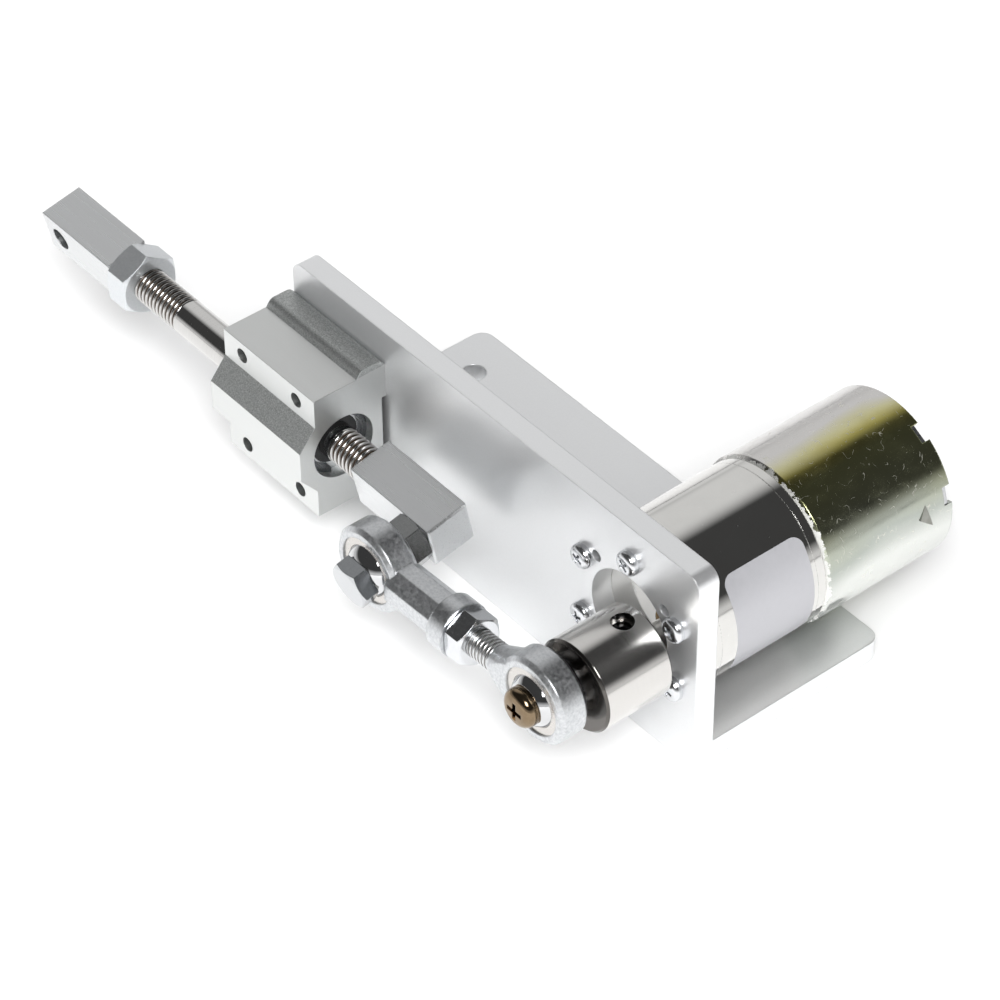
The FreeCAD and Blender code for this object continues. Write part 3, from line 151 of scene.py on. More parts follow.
slope = add(tree, "ShaderNodeMapRange", {
    "Value": add(tree, "ShaderNodeMath", {0: lean}, operation="ABSOLUTE"),
    "From Min": FLAT_LEAN, "From Max": SLOPE_LEAN})
skin = add(tree, "ShaderNodeMath", {0: flange, 1: slope}, operation="MAXIMUM")
pits = add(tree, "ShaderNodeTexNoise", {
    "Vector": place, "Scale": 1 / PIT_WIDE, "Detail": 4.0, "Roughness": 0.7})
pitted = add(tree, "ShaderNodeMapRange", {"Value": pits, "From Min": PIT_FLOOR, "From Max": PIT_BRIM})
skin_tone = add(tree, "ShaderNodeMix", {0: pitted, 6: linear("A2A5A4"), 7: linear("D8DAD9")},
                data_type="RGBA")
tone = add(tree, "ShaderNodeMix", {0: skin, 6: tree.nodes["tone"].outputs[2], 7: skin_tone.outputs[2]},
           data_type="RGBA")
gloss = add(tree, "ShaderNodeMix", {0: skin, 2: tree.nodes["rough"].outputs[0], 3: SKIN_ROUGH})
depth = add(tree, "ShaderNodeMath", {0: pits, 1: skin}, operation="MULTIPLY")
pit_bump = add(tree, "ShaderNodeBump", {"Height": depth, "Distance": PIT_DEEP, "Normal": tree.nodes["bump"]})
shader = tree.nodes["shader"]
tree.links.new(tone.outputs[2], shader.inputs["Base Color"])
tree.links.new(gloss.outputs[0], shader.inputs["Roughness"])
tree.links.new(pit_bump.outputs[0], shader.inputs["Normal"])
dress(extruded, "bearing_block")


# Block screws: zinc plated M4 pan heads with a cross recess, driven through the bracket from behind.
# Each stands at its own turn, as a driver leaves it.
def link(name, mesh):
    """Put a mesh into the scene as an object."""
    piece = bpy.data.objects.new(name, mesh)
    bpy.context.scene.collection.objects.link(piece)
    return piece


def lathe(name, corners, steps=48):
    """A closed turned mesh about Z from (radius, height) corners; the first and last are on the axis."""
    points = [(0.0, 0.0, corners[0][1])]
    turns = [math.tau * i / steps for i in range(steps)]
    for radius, height in corners[1:-1]:
        points += [(radius * math.cos(turn), radius * math.sin(turn), height) for turn in turns]
    points.append((0.0, 0.0, corners[-1][1]))
    top = len(points) - 1
    following = [(i, (i + 1) % steps) for i in range(steps)]
    faces = [(0, 1 + after, 1 + i) for i, after in following]
    for ring in range(1, top - steps, steps):
        faces += [(ring + i, ring + after, ring + steps + after, ring + steps + i) for i, after in following]
    faces += [(top, top - steps + i, top - steps + after) for i, after in following]
    mesh = bpy.data.meshes.new(name)
    mesh.from_pydata(points, [], faces)
    return link(name, mesh)


def prism(name, outline, low, high, taper=1.0):
    """An outline drawn up from one height to another, with its lower end scaled."""
    count = len(outline)
    points = [(x * taper, y * taper, low) for x, y in outline] + [(x, y, high) for x, y in outline]
    faces = [tuple(reversed(range(count))), tuple(range(count, 2 * count))]
    faces += [(i, (i + 1) % count, count + (i + 1) % count, count + i) for i in range(count)]
    mesh = bpy.data.meshes.new(name)
    mesh.from_pydata(points, [], faces)
    return link(name, mesh)


def settle(piece):
    """Keep what a piece's modifiers give as its own plain mesh."""
    graph = bpy.context.evaluated_depsgraph_get()
    mesh = bpy.data.meshes.new_from_object(piece.evaluated_get(graph))
    piece.modifiers.clear()
    piece.data = mesh
    mesh.name = piece.name
    return piece


def cut(piece, tool, operation="DIFFERENCE"):
    """Take a tool's shape out of a piece, or keep what they share, or join them; the tool goes."""
    knife = piece.modifiers.new("cut", "BOOLEAN")
    knife.operation = operation
    knife.solver = "EXACT"
    knife.object = tool
    settle(piece)
    bpy.data.objects.remove(tool)
    return piece


def crisp(piece, degrees=32):
    """Smooth shading that breaks at edges sharper than an angle."""
    piece.data.shade_smooth()
    piece.data.set_sharp_from_angle(angle=math.radians(degrees))
    return piece


def cross_screw(name, head_dia, head_high, shank_dia, length):
    """A pan head screw about Z, its head above height 0, with a tapered cross recess."""
    head = head_dia / 2
    shank = shank_dia / 2
    rim = 0.4 * head_high
    lip = 0.1 * head_high
    arc = [math.radians(15 * i) for i in range(6)]
    dome = [(head * (0.5 + 0.5 * math.cos(a)), rim + (head_high - rim) * math.sin(a)) for a in arc]
    under_head = [(shank, 0.0), (head * 0.96, 0.0), (head, lip)]
    screw = lathe(name, [(0.0, -length), (shank, -length)] + under_head + dome + [(0.0, head_high)])
    arm = head_dia * 0.27
    wide = head_dia * 0.065
    floor = head_high * 0.25
    above = head_high * 1.2
    cross = [(arm, wide), (wide, wide), (wide, arm), (-wide, arm), (-wide, wide), (-arm, wide),
             (-arm, -wide), (-wide, -wide), (-wide, -arm), (wide, -arm), (wide, -wide), (arm, -wide)]
    return cut(screw, prism("recess", cross, floor, above, taper=0.6))


def named_inputs(tree, **kinds):
    """Give a tree its sockets, and return those that come in."""
    tree.interface.new_socket("Geometry", in_out="OUTPUT", socket_type="NodeSocketGeometry")
    tree.interface.new_socket("Geometry", in_out="INPUT", socket_type="NodeSocketGeometry")
    for name, kind in kinds.items():
        tree.interface.new_socket(name, in_out="INPUT", socket_type=f"NodeSocket{kind}")
    return add(tree, "NodeGroupInput").outputs


def grown(name, tree, points, **sizes):
    """Run a node tree on a few points, and keep the result as a plain mesh."""
    mesh = bpy.data.meshes.new(name)
    mesh.from_pydata(points, [], [])
    piece = link(name, mesh)
    rule = piece.modifiers.new(name, "NODES")
    rule.node_group = tree
    for item in tree.interface.items_tree:
        if item.in_out == "INPUT" and item.name in sizes:
            rule[item.identifier] = sizes[item.name]
    return settle(piece)


screw_rule = bpy.data.node_groups.new("screws_on_points", "GeometryNodeTree")
given = named_inputs(screw_rule, Screw="Object", Axis="Vector", Seed="Int", Finish="Material")
pattern = add(screw_rule, "GeometryNodeObjectInfo", {"Object": given["Screw"]})
spin = add(screw_rule, "FunctionNodeRandomValue", {2: 0.0, 3: math.tau, "Seed": given["Seed"]},
           data_type="FLOAT")
turned = add(screw_rule, "FunctionNodeAxisAngleToRotation", {"Axis": given["Axis"], "Angle": spin.outputs[1]})
placed = add(screw_rule, "GeometryNodeInstanceOnPoints", {
    "Points": given["Geometry"], "Instance": pattern.outputs["Geometry"], "Rotation": turned})
realized = add(screw_rule, "GeometryNodeRealizeInstances", {"Geometry": placed})
coated = add(screw_rule, "GeometryNodeSetMaterial", {"Geometry": realized, "Material": given["Finish"]})
add(screw_rule, "NodeGroupOutput", {"Geometry": coated})

# Bright zinc is a thin, slightly milky mirror, whose cloudiness drifts over less than a millimetre
zinc = finish("bright_zinc_plate", "E6E7E9", "D2D4D7", (0.14, 0.24), 0.7, relief_mm=0.004, edge_mm=0.15)
BLOCK_HEAD_DIA = 7.0 * MM
BLOCK_HEAD_HIGH = 2.8 * MM
BLOCK_SHANK_DIA = 3.96 * MM
low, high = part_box("block_screws")
under_head = high.y - BLOCK_HEAD_HIGH
master = cross_screw("block_screw", BLOCK_HEAD_DIA, BLOCK_HEAD_HIGH, BLOCK_SHANK_DIA, under_head - low.y)
master.data.transform(Matrix.Rotation(math.radians(-90), 4, "X"))
places = [(x, under_head, z)
          for x in (low.x + BLOCK_HEAD_DIA / 2, high.x - BLOCK_HEAD_DIA / 2)
          for z in (low.z + BLOCK_HEAD_DIA / 2, high.z - BLOCK_HEAD_DIA / 2)]
block_screws = grown("cross_recess_block_screws", screw_rule, places,
                     Screw=master, Axis=(0.0, 1.0, 0.0), Seed=4, Finish=zinc)
bpy.data.objects.remove(master)
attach(crisp(block_screws), "frame")
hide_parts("block_screws")

# Ball bushing: a ground steel sleeve with a plastic cage, steel balls and rubber lip seals,
# held in the block's bore by a spring steel circlip at each end. Only the seals and circlips show.

# Ground bearing steel is a cold, clear mirror
bearing_steel = finish("ground_bearing_steel", "D2D3D4", "BCBEC0", (0.08, 0.16), 0.3, (1, 0.05, 0.05),
                       edge_mm=0.1)
dress(bearing_steel, "bushing_sleeve", "bushing_balls")
# Moulded acetal is nearly black, with a broad waxy sheen
acetal = finish("black_acetal", "1C1C1D", "121213", (0.42, 0.55), 0.6, metallic=0.0)
dress(acetal, "bushing_cage", "brush_holder")
# Rubber is dull and a little uneven, and gives back only a soft grey light
rubber = finish("nitrile_rubber", "2B2B2C", "1A1A1B", (0.38, 0.6), 0.4, relief_mm=0.02, metallic=0.0)
dress(rubber, "bushing_seals")
# Phosphate and oil leave spring steel dark grey, with a soft shine
spring_steel = finish("phosphated_spring_steel", "77797B", "4C4E50", (0.24, 0.4), 0.4)
dress(spring_steel, "block_circlips")

# Slide shaft: an 8 mm ground stainless shaft with a thread cut at each end.
# The thread's roots are coloured darker brown and duller than its crests.
# Half of the thread's flat crest and of its flat root, as shares of the pitch
CREST_FLAT = 0.07
ROOT_FLAT = 0.07
THREAD_ROUND_STEPS = 49
THREAD_CRISP = 50
# Points that lie closer than this are one point
SAME_POINT = 2e-7
# The roots darken from this share of the thread's depth, and are fully dark from the second
ROOT_DARK_EDGE = 0.15
ROOT_DARK_FULL = 0.75
ROOT_ROUGH = 0.45

rod_rule = bpy.data.node_groups.new("threaded_rod", "GeometryNodeTree")
given = named_inputs(rod_rule, Length="Float", Radius="Float", Pitch="Float", Depth="Float",
                     PlainStart="Float", PlainEnd="Float", Tip="Float", StepsAlong="Int", StepsRound="Int",
                     Finish="Material")
net = add(rod_rule, "GeometryNodeMeshGrid", {
    "Size X": given["Length"], "Size Y": 1.0,
    "Vertices X": given["StepsAlong"], "Vertices Y": given["StepsRound"]})
spot = add(rod_rule, "ShaderNodeSeparateXYZ", {"Vector": add(rod_rule, "GeometryNodeInputPosition")})
half = add(rod_rule, "ShaderNodeMath", {0: given["Length"], 1: 0.5}, operation="MULTIPLY")
along = add(rod_rule, "ShaderNodeMath", {0: spot.outputs["X"], 1: half}, operation="ADD")
left = add(rod_rule, "ShaderNodeMath", {0: given["Length"], 1: along}, operation="SUBTRACT")
# The thread is a wave along the rod that is put off by one pitch in each turn
pitches = add(rod_rule, "ShaderNodeMath", {0: along, 1: given["Pitch"]}, operation="DIVIDE")
phase = add(rod_rule, "ShaderNodeMath", {0: pitches, 1: spot.outputs["Y"]}, operation="ADD")
wave = add(rod_rule, "ShaderNodeMath", {0: phase, 1: 0.5}, operation="PINGPONG")
before = add(rod_rule, "ShaderNodeMath", {0: along, 1: given["PlainStart"]}, operation="LESS_THAN")
after = add(rod_rule, "ShaderNodeMath", {0: along, 1: given["PlainEnd"]}, operation="GREATER_THAN")
threaded = add(rod_rule, "ShaderNodeMath", {0: before, 1: after}, operation="ADD")
flank = add(rod_rule, "ShaderNodeMapRange", {
    "Value": wave, "From Min": ROOT_FLAT, "From Max": 0.5 - CREST_FLAT, "To Min": threaded, "To Max": 0.0})
noted = add(rod_rule, "GeometryNodeStoreNamedAttribute", {
    "Geometry": net, "Name": "thread_root", "Value": flank})
sunk = add(rod_rule, "ShaderNodeMath", {0: flank, 1: given["Depth"]}, operation="MULTIPLY")
body = add(rod_rule, "ShaderNodeMath", {0: given["Radius"], 1: sunk}, operation="SUBTRACT")
# A cone chamfers each end, and the end rings close on the axis
nearest = add(rod_rule, "ShaderNodeMath", {0: along, 1: left}, operation="MINIMUM")
blunt = add(rod_rule, "ShaderNodeMath", {0: given["Radius"], 1: given["Tip"]}, operation="SUBTRACT")
cone = add(rod_rule, "ShaderNodeMath", {0: blunt, 1: nearest}, operation="ADD")
within = add(rod_rule, "ShaderNodeMath", {0: nearest, 1: SAME_POINT / 2}, operation="GREATER_THAN")
chamfered = add(rod_rule, "ShaderNodeMath", {0: body, 1: cone}, operation="MINIMUM")
radius = add(rod_rule, "ShaderNodeMath", {0: chamfered, 1: within}, operation="MULTIPLY")
turn = add(rod_rule, "ShaderNodeMath", {0: spot.outputs["Y"], 1: math.tau}, operation="MULTIPLY")
sine = add(rod_rule, "ShaderNodeMath", {0: turn}, operation="SINE")
cosine = add(rod_rule, "ShaderNodeMath", {0: turn}, operation="COSINE")
bent = add(rod_rule, "ShaderNodeCombineXYZ", {
    "X": along,
    "Y": add(rod_rule, "ShaderNodeMath", {0: radius, 1: sine}, operation="MULTIPLY"),
    "Z": add(rod_rule, "ShaderNodeMath", {0: radius, 1: cosine}, operation="MULTIPLY")})
rolled = add(rod_rule, "GeometryNodeSetPosition", {"Geometry": noted, "Position": bent})
closed = add(rod_rule, "GeometryNodeMergeByDistance", {"Geometry": rolled, "Distance": SAME_POINT})
realized = add(rod_rule, "GeometryNodeRealizeInstances", {"Geometry": closed})
coated = add(rod_rule, "GeometryNodeSetMaterial", {"Geometry": realized, "Material": given["Finish"]})
add(rod_rule, "NodeGroupOutput", {"Geometry": coated})


def darker_in_roots(material, root):
    """Darken a finish in the roots of its thread, and dull it there."""
    tree = material.node_tree
    shader = tree.nodes["shader"]
    groove = add(tree, "ShaderNodeAttribute", attribute_name="thread_root")
    in_root = add(tree, "ShaderNodeMapRange", {
        "Value": groove.outputs["Fac"], "From Min": ROOT_DARK_EDGE, "From Max": ROOT_DARK_FULL})
    tone = add(tree, "ShaderNodeMix", {0: in_root, 6: tree.nodes["tone"].outputs[2], 7: linear(root)},
               data_type="RGBA")
    gloss = add(tree, "ShaderNodeMix", {0: in_root, 2: tree.nodes["rough"].outputs[0], 3: ROOT_ROUGH})
    tree.links.new(tone.outputs[2], shader.inputs["Base Color"])
    tree.links.new(gloss.outputs[0], shader.inputs["Roughness"])
    return material


# Grinding leaves lines round the shaft that are finer than a pixel, so only its clear dark mirror shows
stainless = darker_in_roots(finish("ground_stainless_steel", "D8D7D5", "C6C5C3", (0.07, 0.12), 0.25, (1, 0.05, 0.05),
                         edge_mm=0.05), "4A3E34")
SLIDE_RADIUS = 4.0 * MM
SLIDE_PITCH = 1.25 * MM
SLIDE_THREAD_DEEP = 0.62 * MM
SLIDE_PLAIN_START = -65.5 * MM
SLIDE_PLAIN_END = -12.5 * MM
SLIDE_TIP = 0.4 * MM
SLIDE_STEPS = 900
low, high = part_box("slide_shaft")
slide_shaft = grown("threaded_slide_shaft", rod_rule, [], Length=high.x - low.x, Radius=SLIDE_RADIUS,
                    Pitch=SLIDE_PITCH, Depth=SLIDE_THREAD_DEEP, PlainStart=SLIDE_PLAIN_START - low.x,
                    PlainEnd=SLIDE_PLAIN_END - low.x, Tip=SLIDE_TIP, StepsAlong=SLIDE_STEPS,
                    StepsRound=THREAD_ROUND_STEPS, Finish=stainless)
slide_shaft.data.transform(Matrix.Translation((low.x, (low.y + high.y) / 2, (low.z + high.z) / 2)))
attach(crisp(slide_shaft, THREAD_CRISP), "slider")
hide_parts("slide_shaft")

# Square bars and lock nut: 10 mm drawn steel bar, drilled across and tapped, then nickel plated.
# The lock nut is a plain zinc plated M8 nut, tightened on the far bar.

# Drawing leaves fine lines along the bar, here drawn twice as wide as the real ones
bar_plate = finish("nickel_plated_drawn_bar", "DCDDDE", "D0D2D3", (0.26, 0.34), 0.3, (0.012, 1, 1),
                   relief_mm=0.002, edge_mm=0.3)
dress(bar_plate, "far_bar", "inner_bar")
# Dull zinc scatters part of the light, so the facets look pale and even; its crystals are drawn too coarse
dull_zinc = finish("dull_zinc_plate", "E6E8EA", "CDD1D4", (0.28, 0.42), 0.5, relief_mm=0.01, edge_mm=0.3,
                   metallic=0.88)
dress(dull_zinc, "lock_nut")

# Pivot: a zinc plated hexagon bolt through the ball, the spacer nut and the inner bar.
# The spacer nut is black nickel plated; its chamfers and end faces are painted bright, as a painted
# highlight.
BAR_ROLL = math.radians(12)
BALL_WIDE = 9.0 * MM
BOLT_FLATS = 9.4 * MM
BOLT_HEAD_HIGH = 3.6 * MM
BOLT_RADIUS = 2.95 * MM
BOLT_TIP_RADIUS = 0.85 * BOLT_RADIUS
BOLT_TIP_LONG = 0.5 * MM
BOLT_GRIP = 25.0 * MM
BOLT_IN_HEAD = 0.5 * MM
CHAMFER_SLOPE = math.tan(math.radians(30))
CHAMFER_STEPS = 96
HEXAGON_CRISP = 12
# A face counts as across an axis when its normal lies along it by more than this cosine
ACROSS_AXIS = 0.2


def hexagon_head(name, flats, thick, both_ends=False):
    """A hexagon about Z from height 0 up, whose corners a lathe has turned off at 30 degrees."""
    corner = flats / math.sqrt(3)
    face = flats * 0.48
    clear = corner * 1.05
    drop = (clear - face) * CHAMFER_SLOPE
    tip = clear * CHAMFER_SLOPE - drop
    turns = [math.radians(60 * i) for i in range(6)]
    outline = [(corner * math.cos(turn), corner * math.sin(turn)) for turn in turns]
    foot = [(0.0, -tip), (clear, drop)] if both_ends else [(0.0, -thick), (clear, -thick)]
    turning = lathe("turning", foot + [(clear, thick - drop), (0.0, thick + tip)], CHAMFER_STEPS)
    return cut(prism(name, outline, 0.0, thick), turning, "INTERSECT")


def paint_light_across(material, axis, painted_tone):
    """Paint the faces and chamfers across an axis another tone, which stands in for the light or shade that
    falls on them.
    """
    tree = material.node_tree
    normal = add(tree, "ShaderNodeNewGeometry").outputs["True Normal"]
    end_on = add(tree, "ShaderNodeVectorMath", {0: normal, 1: axis}, operation="DOT_PRODUCT")
    across = add(tree, "ShaderNodeMath", {0: end_on.outputs["Value"]}, operation="ABSOLUTE")
    facing_axis = add(tree, "ShaderNodeMath", {0: across, 1: ACROSS_AXIS}, operation="GREATER_THAN")
    tone = add(tree, "ShaderNodeMix", {0: facing_axis, 6: tree.nodes["tone"].outputs[2], 7: linear(painted_tone)},
               data_type="RGBA")
    tree.links.new(tone.outputs[2], tree.nodes["shader"].inputs["Base Color"])


out_of_bar = Vector((0.0, -math.cos(BAR_ROLL), -math.sin(BAR_ROLL)))
up_on_bar = Vector((0.0, -math.sin(BAR_ROLL), math.cos(BAR_ROLL)))
along_bar = up_on_bar.cross(out_of_bar)
low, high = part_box("pivot_ball")
seat = Matrix.Translation((low + high) / 2 + BALL_WIDE / 2 * out_of_bar)
seat = seat @ Matrix((along_bar, up_on_bar, out_of_bar)).transposed().to_4x4()
# The bolt's zinc has aged to a grey mirror; its head's end face and chamfer are painted lighter, as a painted
# highlight
bolt_plate = finish("grey_zinc_plate", "A4A6A8", "8A8D90", (0.12, 0.22), 0.7, relief_mm=0.004, edge_mm=0.15)
paint_light_across(bolt_plate, out_of_bar, "C2C4C6")
pivot_bolt = hexagon_head("hexagon_pivot_bolt", BOLT_FLATS, BOLT_HEAD_HIGH)
shank = lathe("shank", [(0.0, -BOLT_GRIP), (BOLT_TIP_RADIUS, -BOLT_GRIP),
                        (BOLT_RADIUS, -BOLT_GRIP + BOLT_TIP_LONG), (BOLT_RADIUS, BOLT_IN_HEAD),
                        (0.0, BOLT_IN_HEAD)])
cut(pivot_bolt, shank, "UNION")
pivot_bolt.data.transform(seat)
pivot_bolt.data.materials.clear()
pivot_bolt.data.materials.append(bolt_plate)
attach(crisp(pivot_bolt, HEXAGON_CRISP), "slider")
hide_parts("pivot_bolt")

# Black nickel is a smoky mirror: the flats look dark, and the chamfers and end faces are painted nearly
# white, as a painted highlight
black_nickel = finish("black_nickel_plate", "9B9C9C", "757777", (0.14, 0.24), 0.6, edge_mm=0.3)
paint_light_across(black_nickel, out_of_bar, "E4E4E4")
dress(black_nickel, "pivot_nut")
# Hard chrome on a ground ball is the clearest mirror here
ball_steel = finish("hard_chromed_ball", "D4D4D5", "C8C9CA", (0.03, 0.06), 0.8, edge_mm=0.1)
dress(ball_steel, "pivot_ball", "crank_ball")

# Rod ends: drop forged steel eyes, one tapped and one threaded, tumbled and zinc plated.
# A bronze bearing race is pressed into each eye, and a zinc washer stands behind the crank ball.

# Tumbling leaves the forged skin frosted, mottled pale and grey; its grains are drawn twice too coarse
forged = finish("frosted_zinc_forging", "F2F3F4", "9A9EA2", (0.3, 0.46), 0.65, relief_mm=0.004, edge_mm=0.5)
dress(forged, "female_rod_end", "male_rod_end")
# Burnished bronze is a pale pinkish grey with a soft sheen
race_bronze = finish("pale_bronze_race", "D2CFCB", "C7C3BF", (0.2, 0.3), 3.0, edge_mm=0.15)
dress(race_bronze, "pivot_race", "crank_race")
dress(zinc, "crank_washer")

# Rod thread: the stretch of the rod end's M6 thread that shows between the jam nut and the neck.
# Rolling forms it from the rod end's own steel; here it is a sleeve over the CAD's plain shank.
ROD_CREST_RADIUS = 3.2 * MM
ROD_PITCH = 1.0 * MM
ROD_THREAD_DEEP = 0.24 * MM
ROD_THREAD_START = 30.4 * MM
ROD_THREAD_END = 37.2 * MM
ROD_TIP = 0.2 * MM
ROD_STEPS = 90
# A plain stretch that starts beyond the rod's end: the whole length is threaded
NO_PLAIN = 1.0
# Rolling burnishes the crests bright, and the roots are coloured darker grey
threads = darker_in_roots(finish("rolled_zinc_thread", "E2E3E4", "CFD1D2", (0.16, 0.26), 0.3, edge_mm=0.05), "6B6661")
rod_thread = grown("rod_end_thread", rod_rule, [], Length=ROD_THREAD_END - ROD_THREAD_START,
                   Radius=ROD_CREST_RADIUS, Pitch=ROD_PITCH, Depth=ROD_THREAD_DEEP, PlainStart=NO_PLAIN,
                   PlainEnd=NO_PLAIN, Tip=ROD_TIP, StepsAlong=ROD_STEPS, StepsRound=THREAD_ROUND_STEPS,
                   Finish=threads)
pivot_low, pivot_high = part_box("pivot_race")
crank_low, crank_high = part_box("crank_race")
pivot = (pivot_low + pivot_high) / 2
rod_way = ((crank_low + crank_high) / 2 - pivot).normalized()
rod_turn = Vector((1.0, 0.0, 0.0)).rotation_difference(rod_way).to_matrix().to_4x4()
rod_thread.data.transform(Matrix.Translation(pivot + ROD_THREAD_START * rod_way) @ rod_turn)
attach(crisp(rod_thread, THREAD_CRISP), "rod")

# Jam nut: a thin steel hexagon nut, turned off at both faces and plated with bright zinc.
# It is tightened against the tapped rod end, and locks the two rod ends to each other.
JAM_FLATS = 10.0 * MM
JAM_THICK = 4.8 * MM
JAM_START = 26.5 * MM
jam_nut = hexagon_head("chamfered_jam_nut", JAM_FLATS, JAM_THICK, both_ends=True)
bore = lathe("bore", [(0.0, -JAM_THICK), (ROD_CREST_RADIUS, -JAM_THICK), (ROD_CREST_RADIUS, 2 * JAM_THICK),
                      (0.0, 2 * JAM_THICK)])
cut(jam_nut, bore)
lay_down = rod_turn @ Matrix.Rotation(math.radians(90), 4, "Y")
jam_nut.data.transform(Matrix.Translation(pivot + JAM_START * rod_way) @ lay_down)
jam_nut.data.materials.clear()
jam_nut.data.materials.append(zinc)
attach(crisp(jam_nut, HEXAGON_CRISP), "rod")
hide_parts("jam_nut")

# Crank screw: a steel screw with a cross recess, plated the colour of old bronze.
# Its shoulder carries the crank ball, and its threaded end is screwed into the hub off centre.
CRANK_HEAD_DIA = 8.4 * MM
CRANK_HEAD_HIGH = 3.0 * MM
CRANK_SHOULDER_DIA = 6.0 * MM
# Antique bronze plate is a brown mirror, clouded in patches about a millimetre wide
antique = finish("antique_bronze_plate", "94826A", "6F5F4B", (0.08, 0.16), 1.2, edge_mm=0.2)
low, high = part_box("crank_screw")
crank_screw = cross_screw("cross_recess_crank_screw", CRANK_HEAD_DIA, CRANK_HEAD_HIGH, CRANK_SHOULDER_DIA,
                          high.y - low.y - CRANK_HEAD_HIGH)
seat = Matrix.Translation(((low.x + high.x) / 2, low.y + CRANK_HEAD_HIGH, (low.z + high.z) / 2))
crank_screw.data.transform(seat @ Matrix.Rotation(math.radians(90), 4, "X"))
crank_screw.data.materials.append(antique)
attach(crisp(crank_screw), "rod")
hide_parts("crank_screw")
dress(antique, "crank_screw_thread")

# Crank hub: a steel slug, turned, bored for the output shaft and tapped across for a set screw.
# The output shaft and the motor's own shaft are turned from the same steel.
HUB_SPREAD = 0.8
QUARTER_TURN = 0.25
# The tool leaves fine rings round the steel, which draw each light out in a band along it;
# the faces across the axis are painted dark, as painted shade and a painted reflection of the dark gap in
# front of the hub
turned_steel = finish("fine_turned_steel", "D8D6D3", "CCCAC7", (0.15, 0.19), 0.16, (0.03, 1, 0.03),
                      edge_mm=0.25)
tree = turned_steel.node_tree
shader = tree.nodes["shader"]
shader.inputs["Anisotropic"].default_value = HUB_SPREAD
shader.inputs["Anisotropic Rotation"].default_value = QUARTER_TURN
rings = add(tree, "ShaderNodeTangent", direction_type="RADIAL", axis="Y")
tree.links.new(rings.outputs[0], shader.inputs["Tangent"])
paint_light_across(turned_steel, Vector((0.0, 1.0, 0.0)), "625F5C")
dress(turned_steel, "crank_hub", "output_shaft", "motor_shaft")

# Set screw: a short hexagon socket screw of hardened steel in the hub's cross hole.
# It is tightened on the flat of the output shaft, and sits just below the hub's surface.
SET_SCREW_RADIUS = 2.0 * MM
SET_SCREW_FOOT = 0.2 * SET_SCREW_RADIUS
SET_SCREW_CHAMFER = 0.15 * SET_SCREW_RADIUS
SOCKET_RADIUS = 1.16 * MM
SOCKET_TURN_DEGREES = 11
# Black oxide and its oil leave the steel dark, with a soft shine on the socket's edge
black_oxide = finish("oiled_black_oxide", "77797C", "55575A", (0.16, 0.28), 0.5, edge_mm=0.15)
low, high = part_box("set_screw")
long = high.z - low.z
set_screw = lathe("hexagon_socket_set_screw", [
    (0.0, 0.0), (SET_SCREW_RADIUS - SET_SCREW_FOOT, 0.0), (SET_SCREW_RADIUS, SET_SCREW_FOOT),
    (SET_SCREW_RADIUS, long - SET_SCREW_CHAMFER), (SET_SCREW_RADIUS - SET_SCREW_CHAMFER, long), (0.0, long)])
turns = [math.radians(SOCKET_TURN_DEGREES + 60 * i) for i in range(6)]
hexagon = [(SOCKET_RADIUS * math.cos(turn), SOCKET_RADIUS * math.sin(turn)) for turn in turns]
socket_floor = long * 0.5
above = long * 1.1
cut(set_screw, prism("socket", hexagon, socket_floor, above))
set_screw.data.transform(Matrix.Translation(((low.x + high.x) / 2, (low.y + high.y) / 2, low.z)))
set_screw.data.materials.append(black_oxide)
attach(crisp(set_screw), "crank")
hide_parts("set_screw")

# Motor screws: six zinc plated M3 pan heads with a cross recess, on one circle round the gearbox's axis.
# They go through the bracket into the gearbox's front plate, each left at its own turn.
MOUNT_HEAD_DIA = 5.4 * MM
MOUNT_HEAD_HIGH = 2.0 * MM
MOUNT_SHANK_DIA = 2.96 * MM
MOUNT_CIRCLE = 31.0 * MM
MOUNT_COUNT = 6
MOUNT_FIRST = math.radians(30)
case_low, case_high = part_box("gearbox_case")
motor_axis = (case_low + case_high) / 2
low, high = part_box("mount_screws")
under_head = low.y + MOUNT_HEAD_HIGH
master = cross_screw("mount_screw", MOUNT_HEAD_DIA, MOUNT_HEAD_HIGH, MOUNT_SHANK_DIA, high.y - under_head)
master.data.transform(Matrix.Rotation(math.radians(90), 4, "X"))
places = []
for i in range(MOUNT_COUNT):
    turn = MOUNT_FIRST + math.tau * i / MOUNT_COUNT
    places.append((motor_axis.x + MOUNT_CIRCLE / 2 * math.cos(turn), under_head,
                   motor_axis.z + MOUNT_CIRCLE / 2 * math.sin(turn)))
mount_screws = grown("cross_recess_mount_screws", screw_rule, places,
                     Screw=master, Axis=(0.0, 1.0, 0.0), Seed=11, Finish=zinc)
bpy.data.objects.remove(master)
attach(crisp(mount_screws), "frame")
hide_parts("mount_screws")

# Gearbox: a drawn steel case between two plates, polished and nickel plated.
# The output shaft turns in a bush of sintered bronze, and so does the motor's shaft.
NOISE_MIDDLE = 0.5
# Scratches fade in between these two values of the noise that picks where they are
SCRATCH_EDGE = 0.62
SCRATCH_FULL = 0.72
SCRATCH_ROUGH = 0.6
# The patches that keep scratches are finer than the scratches' spacing by this much
PATCH_FINER = 1.7


